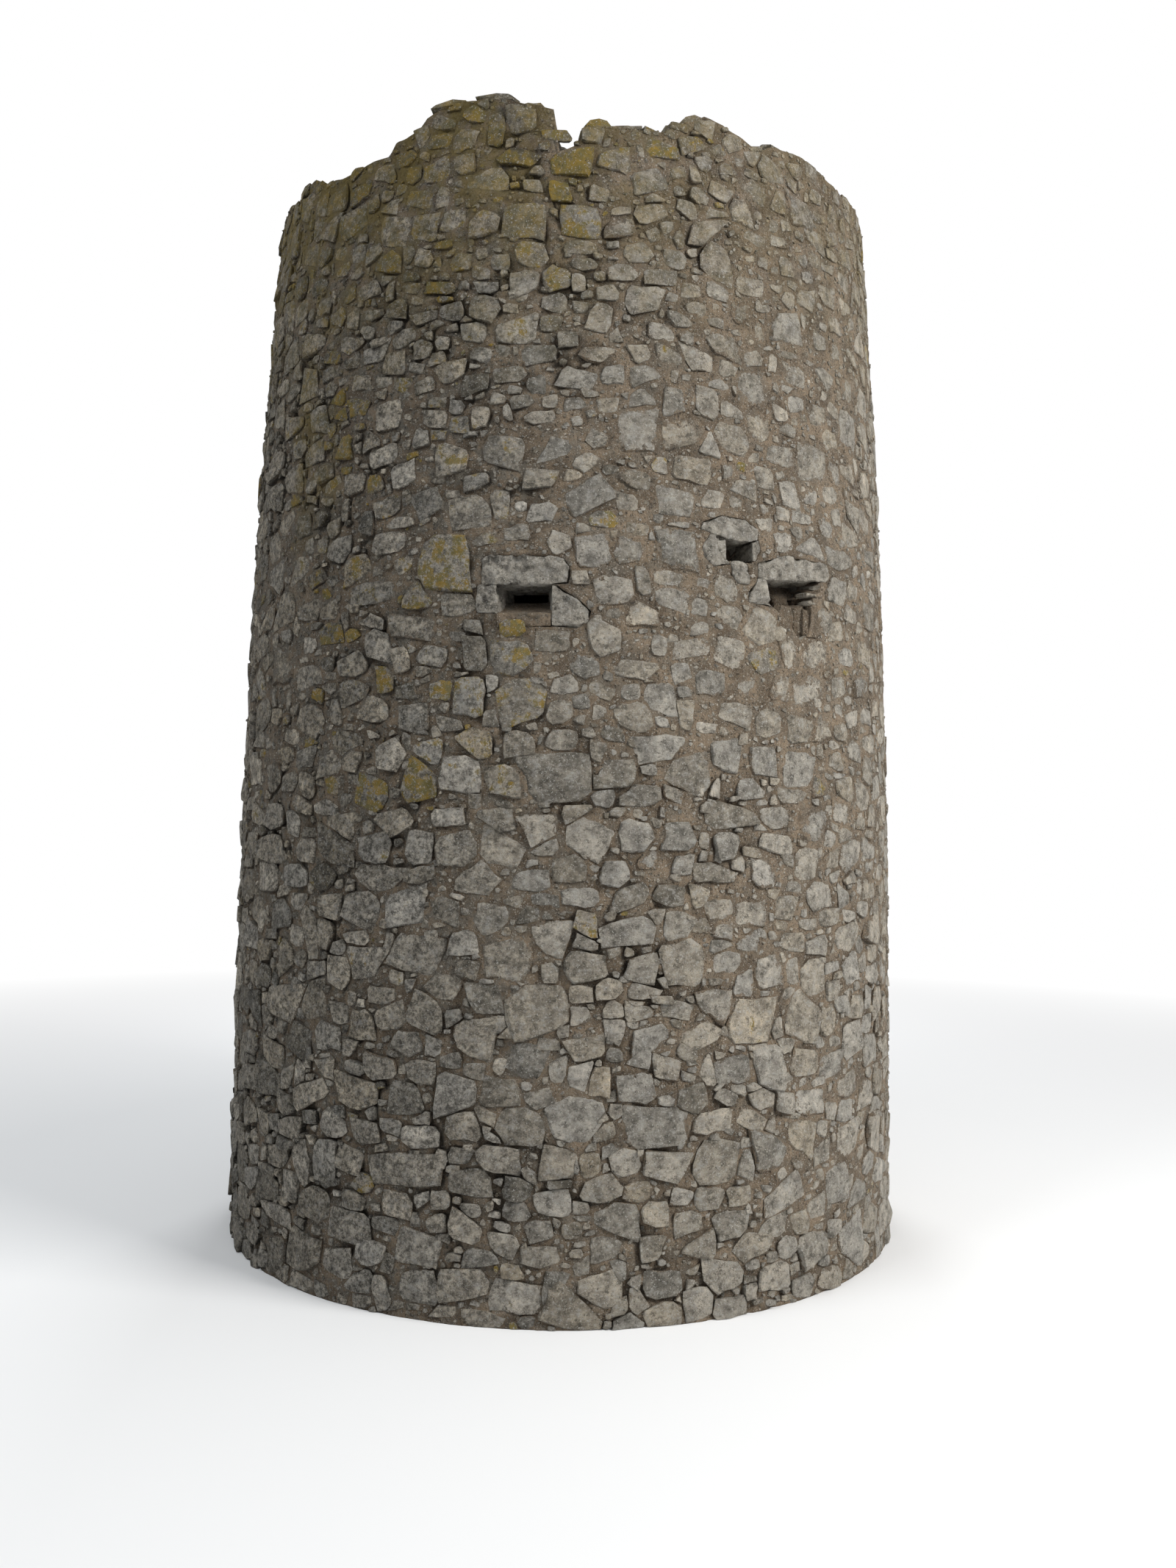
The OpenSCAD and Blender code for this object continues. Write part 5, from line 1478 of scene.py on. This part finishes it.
CHIP_RINGS = [(0.95, -1), (0.86, 1.0)]
chip_proud = np.random.default_rng(53).uniform(0.002, 0.012, len(chips))
chip_proud = chip_proud + mortar_depth(chips[:, 0], chips[:, 1])
large_proud = stone_relief(large, lapped(large[:, 0], large[:, 1]), 51)
small_proud = stone_relief(small, lapped(small[:, 0], small[:, 1]), 52)
kinds = (("stones", large, large_shape, LARGE_RINGS, large_proud),
         ("pinnings", small, small_shape, SMALL_RINGS, small_proud),
         ("chips", chips, chip_shape, CHIP_RINGS, np.maximum(chip_proud, -0.03)))
bands = (("lower", -1, FLOOR_LINE), ("upper", FLOOR_LINE, PARAPET_FOOT), ("parapet", PARAPET_FOOT, 99))
set_count = 0
for band, low, high in bands:
    for index, (name, middle) in enumerate(sector_middles.items()):
        for kind, group, shape, rings, proud in kinds:
            side = group[:, 0] - middle
            side = side - LAP * np.round(side / LAP)
            here = (np.abs(side) <= LAP / 16) & (group[:, 1] >= low) & (group[:, 1] < high)
            share = lapped(group[here, 0], group[here, 1]) * (kind != "chips")
            piece = set_stones(f"{band}_{kind}_{name}", group[here], shape[here], rings, proud[here], share,
                               on_wall, 60 + index)
            set_count += triangles(piece)
added += set_count
print("stones set:", len(stones) + len(chips), "with", set_count, "triangles")

# %% [markdown]
# The broken top is a row of loose-looking stones still held in the wall's core. Each is a lump: a point in
# the middle, and in every direction the distance to the nearest of eleven planes round it, softened so that
# the corners are worn. Three rows of them go round on the parapet, and a few that stand out in the
# photograph are listed.

# %% Crown the parapet with lumps of stone
def lumps(name, rows, own_turn, seed, finish):
    """34 rays each; a lump's radius along a ray is (sum of (cos / distance)^14)^(-1/14) over 11 planes."""
    rng = np.random.default_rng(seed)
    number, power = len(rows), 14
    angle, halves, lichen = np.radians(rows[:, 0]), rows[:, 3:6], rows[:, 6]
    centres = on_ring(angle, rows[:, 1], rows[:, 2] - rows[:, 5] * 0.9)
    turns = angle + own_turn
    around, rise = np.arange(8) * np.pi / 4, np.radians([-52, -18, 18, 52])[:, None]
    grid = np.stack([np.cos(rise) * np.cos(around), np.cos(rise) * np.sin(around),
                     np.sin(rise) + 0 * around], axis=-1)
    rays = np.concatenate([grid.reshape(-1, 3), [[0, 0, -1], [0, 0, 1]]])
    slant = np.where(lichen >= 0, 0.10, 0.24)[:, None, None]
    sides = np.concatenate([np.eye(3), -np.eye(3)]) + rng.normal(0, 1, (number, 6, 3)) * slant
    planes = np.concatenate([sides, rng.normal(0, 1, (number, 5, 3))], axis=1)
    planes /= np.linalg.norm(planes, axis=2, keepdims=True)
    distance = np.concatenate([rng.uniform(0.74, 1.0, (number, 6)),
                               rng.uniform(0.85, 1.2, (number, 5))], axis=1)
    facing = np.clip(np.einsum("nkc,rc->nrk", planes, rays), 0, None) / distance[:, None, :]
    radius = (facing ** power).sum(axis=2) ** (-1 / power)
    local = rays * radius[..., None] * halves[:, None, :]
    cos, sin = np.cos(turns)[:, None], np.sin(turns)[:, None]
    points = np.stack([local[..., 0] * cos - local[..., 1] * sin, local[..., 0] * sin + local[..., 1] * cos,
                       local[..., 2]], axis=-1) + centres[:, None, :]
    ring, size = np.arange(8), len(rays)
    roof = np.stack([24 + ring, 24 + (ring + 1) % 8, np.full(8, size - 1)], axis=-1)
    base = np.stack([(ring + 1) % 8, ring, np.full(8, size - 2)], axis=-1)
    corners, starts = repeated([*grid_faces(4, 8, True), *roof, *base], number, size)
    mesh = mesh_from(name, points.reshape(-1, 3), corners, starts)
    along, height = unrolled(centres)
    as_stones = np.column_stack([along, height, np.zeros((number, 3)), np.full(number, -1.0)])
    tint, warm, growth = stone_tints(as_stones, seed)
    growth = np.where(lichen >= 0, lichen, growth)
    cover = rng.uniform(0.0, 1.0, number)
    for title, values in (("tint", tint), ("warm", warm), ("lichen", growth), ("cover", cover),
                          ("rim", tint * 0 + 0.4), ("dirt_and_shade", tint * 0)):
        note(mesh, title, np.repeat(values, size))
    return finish_piece(name, mesh, [finish], 25)


def broken_top(degrees, radius):
    """The broken line's height at an angle and a radius, by the straight cut of that sector."""
    centre = 45 * np.round(degrees / 45)
    across = radius * np.sin(np.radians(degrees - centre)) / TOP_R
    return crest(centre + np.degrees(np.arcsin(np.clip(across, -1, 1))))


LISTED_LUMPS = np.array([
    [-14.5, 2.76, 9.79, .20, .15, .055, .45], [-6.5, 2.78, 9.78, .19, .14, .050, .35],
    [-1.0, 2.77, 9.70, .15, .14, .060, .50], [-19.5, 2.76, 9.66, .09, .10, .080, .85],
    [10.1, 2.76, 9.575, .155, .16, .125, .85], [15.3, 2.77, 9.54, .14, .13, .040, .20],
    [19.0, 2.75, 9.55, .10, .12, .060, .55], [27.0, 2.72, 9.72, .13, .14, .080, .10],
    [23.8, 2.74, 9.63, .10, .12, .070, .15], [31.0, 2.74, 9.69, .10, .12, .060, .25]])
rng = np.random.default_rng(91)
ROW_COUNTS, HALF_SIZES = [76, 70, 64], [(0.08, 0.17), (0.07, 0.12), (0.035, 0.095)]
crest_count = sum(ROW_COUNTS)
row_radii = np.repeat([TOP_R - 0.11, TOP_R - 0.28, PARAPET_INNER_R + 0.09], ROW_COUNTS)
row_turns = np.concatenate([(np.arange(n) + rng.uniform(-0.3, 0.3, n)) * 360 / n - 180 for n in ROW_COUNTS])
halves = np.column_stack([rng.uniform(least, most, crest_count) for least, most in HALF_SIZES])
spread = np.degrees(halves[:, 0] / row_radii) * 0.75
lowest = np.minimum(broken_top(row_turns - spread, row_radii), broken_top(row_turns + spread, row_radii))
row_tops = np.minimum(lowest, broken_top(row_turns, row_radii)) + rng.uniform(-0.035, 0.02, crest_count)
clear_of = np.abs(row_turns[:, None] - LISTED_LUMPS[:, 0]).min(axis=1) > 3.2
in_notch = np.abs(row_turns - 6.0) < 3.4
kept = (clear_of | (row_radii < TOP_R - 0.2)) & ~in_notch
unlisted = np.column_stack([row_turns, row_radii, row_tops, halves, np.full(crest_count, -1.0)])[kept]
lump_rows = np.concatenate([LISTED_LUMPS, unlisted])
own_turns = rng.normal(0, 0.12, len(lump_rows))
added += triangles(lumps("crest_stones", lump_rows, own_turns, 93, stone_look))
print("crest stones:", len(lump_rows))

# %% [markdown]
# The parapet's inner face is rubble too, and it is seen from above. It is laid and cut with the same
# functions, on the inner circle, from the terrace up to the broken line.

# %% Lay the parapet's inner face
TERRACE_TOP = 8.35
inner_lap = 2 * math.pi * PARAPET_INNER_R


def inner_top(along):
    """The broken line over the inner face, less 5 cm."""
    return broken_top(turned(-np.asarray(along) * BASE_R / PARAPET_INNER_R), PARAPET_INNER_R) - 0.05


INNER_SIZES = [(0.10, 0.19, 300, 10), (0.05, 0.10, 500, 10)]
inner = lay_stones(np.empty((0, 6)), INNER_SIZES, inner_lap, TERRACE_TOP, inner_top,
                   lambda found: np.full(len(found), 0.94), False, 71)
inner_fine = outlines(inner, inner_lap, TERRACE_TOP, inner_top, False,
                      lambda found: np.full(len(found), 0.018), 72)
inner_shape = worth_keeping(inner, inner_fine, 8)
inner_share = np.full(len(inner), 0.3)
inner_piece = set_stones("parapet_inner_stones", inner, inner_shape, SMALL_RINGS,
                         stone_relief(inner, inner_share, 73), inner_share, on_parapet_inside, 74)
added += triangles(inner_piece)
print("stones on the parapet's inner face:", len(inner))

# %% [markdown]
# The squared stones keep the measured shapes but not their ruled faces. A copy of each is remeshed to even
# squares, and every vertex then moves along its normal by bumps of three sizes, with bites where the slowest
# ones peak. The remesh rounds the corners by about one square, as a few hundred winters do. The broken
# loophole's right jamb is a lump of earth by now, so it gets the earth's finish.

# %% Weather the squared stones
def weathered(node_name, square, finish, wear):
    """Moves each vertex along its normal by bumps of 7, 5 and 3 mm less 14 mm bites, all times wear."""
    thing = bpy.data.objects.new("even", merged_copy(node_name))
    bpy.context.scene.collection.objects.link(thing)
    tool = thing.modifiers.new("even_squares", "REMESH")
    tool.mode = "VOXEL"
    tool.voxel_size = square
    mesh = finished_mesh(thing, f"weathered_{node_name}")
    points = vertex_places(mesh)
    normals = np.empty(len(points) * 3, dtype=np.float32)
    mesh.vertices.foreach_get("normal", normals)
    depth = 0.007 * bumps(points, 0.11, 81) + 0.005 * bumps(points, 0.05, 82)
    depth += 0.003 * bumps(points, 0.025, 83)
    depth -= 0.014 * between(bumps(points, 0.08, 84), 0.35, 0.75)
    points += normals.reshape(-1, 3) * depth[:, None] * wear
    mesh.vertices.foreach_set("co", points.astype(np.float32).ravel())
    mesh.update()
    looks = {"tint": 0.62, "warm": 0.25, "lichen": 0.2, "cover": 0.45, "rim": 0.6, "dirt_and_shade": 0}
    for title, value in looks.items():
        note(mesh, title, np.full(len(points), value))
    piece = finish_piece(mesh.name, mesh, [finish], 45)
    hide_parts(node_name)
    return piece


NEAR_SQUARE, FAR_SQUARE = 0.013, 0.030
GAP_DEGREES = 44.5
for opening, parts in OPENINGS.items():
    for part in parts:
        earthy = part in ("sill", "fill", "threshold") and opening != "small_loophole"
        square = FAR_SQUARE if opening in ("left_loophole", "doorway") else NEAR_SQUARE
        piece = weathered(f"{opening}_{part}", square, earth_look if earthy else stone_look,
                          1.3 if earthy else 1.8)
        added += triangles(piece)
        if piece.name == "weathered_broken_loophole_jambs":
            along, _ = unrolled(face_middles(piece.data))
            piece.data.materials.append(earth_look)
            right_of_gap = turned(along) > GAP_DEGREES
            piece.data.polygons.foreach_set("material_index", right_of_gap.astype(np.int32))

# %% [markdown]
# Weather has carried brown earth into the mouths. In the front loophole it lies in a smooth slope over the
# sill, and in the broken one it banks up at the back, with a few stones of the lost facing still hanging at
# the edges. They are lumps like the crest's, listed by angle, distance from the axis, height of the top,
# half sizes and lichen.

# %% Lay the earth and the last facing stones in the mouths
def earth_slope(name, sill_height, mouth_half, throat_half, depth, rise):
    """A wedge over the sill: its top climbs as t^1.2, t from 0 at the face to 1 at the throat, plus bumps."""
    deep, wide = 12, 13
    t, u = np.meshgrid(np.linspace(0, 1, deep), np.linspace(-1, 1, wide), indexing="ij")
    across = u * (mouth_half + (throat_half - mouth_half) * t)
    y = -(face_r(sill_height) - 0.015 - depth * t)
    top = sill_height - 0.012 + rise * t ** 1.2
    top = top + 0.006 * bumps(np.stack([across, y, top], axis=-1), 0.06, 97) + 0.02 * np.abs(u) ** 3
    points = np.concatenate([np.stack([across, y, top], axis=-1).reshape(-1, 3),
                             np.stack([across, y, 0 * top + sill_height - 0.03], axis=-1).reshape(-1, 3)])
    over, index = grid_faces(deep, wide, False), np.arange(deep * wide).reshape(deep, wide)
    edge = np.concatenate([index[0, :-1], index[:-1, -1], index[-1, :0:-1], index[:0:-1, 0]])
    after = np.roll(edge, -1)
    sides = np.stack([after, edge, edge + deep * wide, after + deep * wide], axis=-1)
    quads = np.concatenate([over, over[:, ::-1] + deep * wide, sides])
    mesh = mesh_from(name, points, quads.ravel(), np.arange(len(quads)) * 4)
    return finish_piece(name, mesh, [earth_look], 60)


added += triangles(earth_slope("earth_on_the_front_sill", 5.49, 0.225, 0.190, 0.26, 0.130))
EARTH_LUMPS = np.array([
    [44.4, 2.95, 5.71, .19, .10, .19, 0], [45.8, 2.99, 5.70, .10, .10, .18, 0],
    [47.0, 3.03, 5.69, .10, .10, .18, 0], [-3.0, 3.09, 5.475, .075, .045, .050, 0],
    [-0.4, 3.095, 5.485, .085, .045, .055, 0], [2.3, 3.09, 5.47, .070, .045, .050, 0]])
FACING_LUMPS = np.array([
    [40.0, 3.085, 5.50, .075, .07, .070, 0], [47.0, 3.065, 5.82, .075, .08, .024, 0],
    [47.6, 3.065, 5.755, .065, .07, .026, 0], [50.2, 3.065, 5.72, .120, .10, .125, .35],
    [-1.7, 3.115, 5.45, .135, .055, .085, .95]])
for title, rows, slot, finish in (("earth_in_the_mouths", EARTH_LUMPS, "sill_mortar", earth_look),
                                  ("facing_left_at_the_hollow", FACING_LUMPS, "dressed_stone", stone_look)):
    added += triangles(lumps(title, rows, 0.0, 95, finish))
print("triangles added in all:", added)
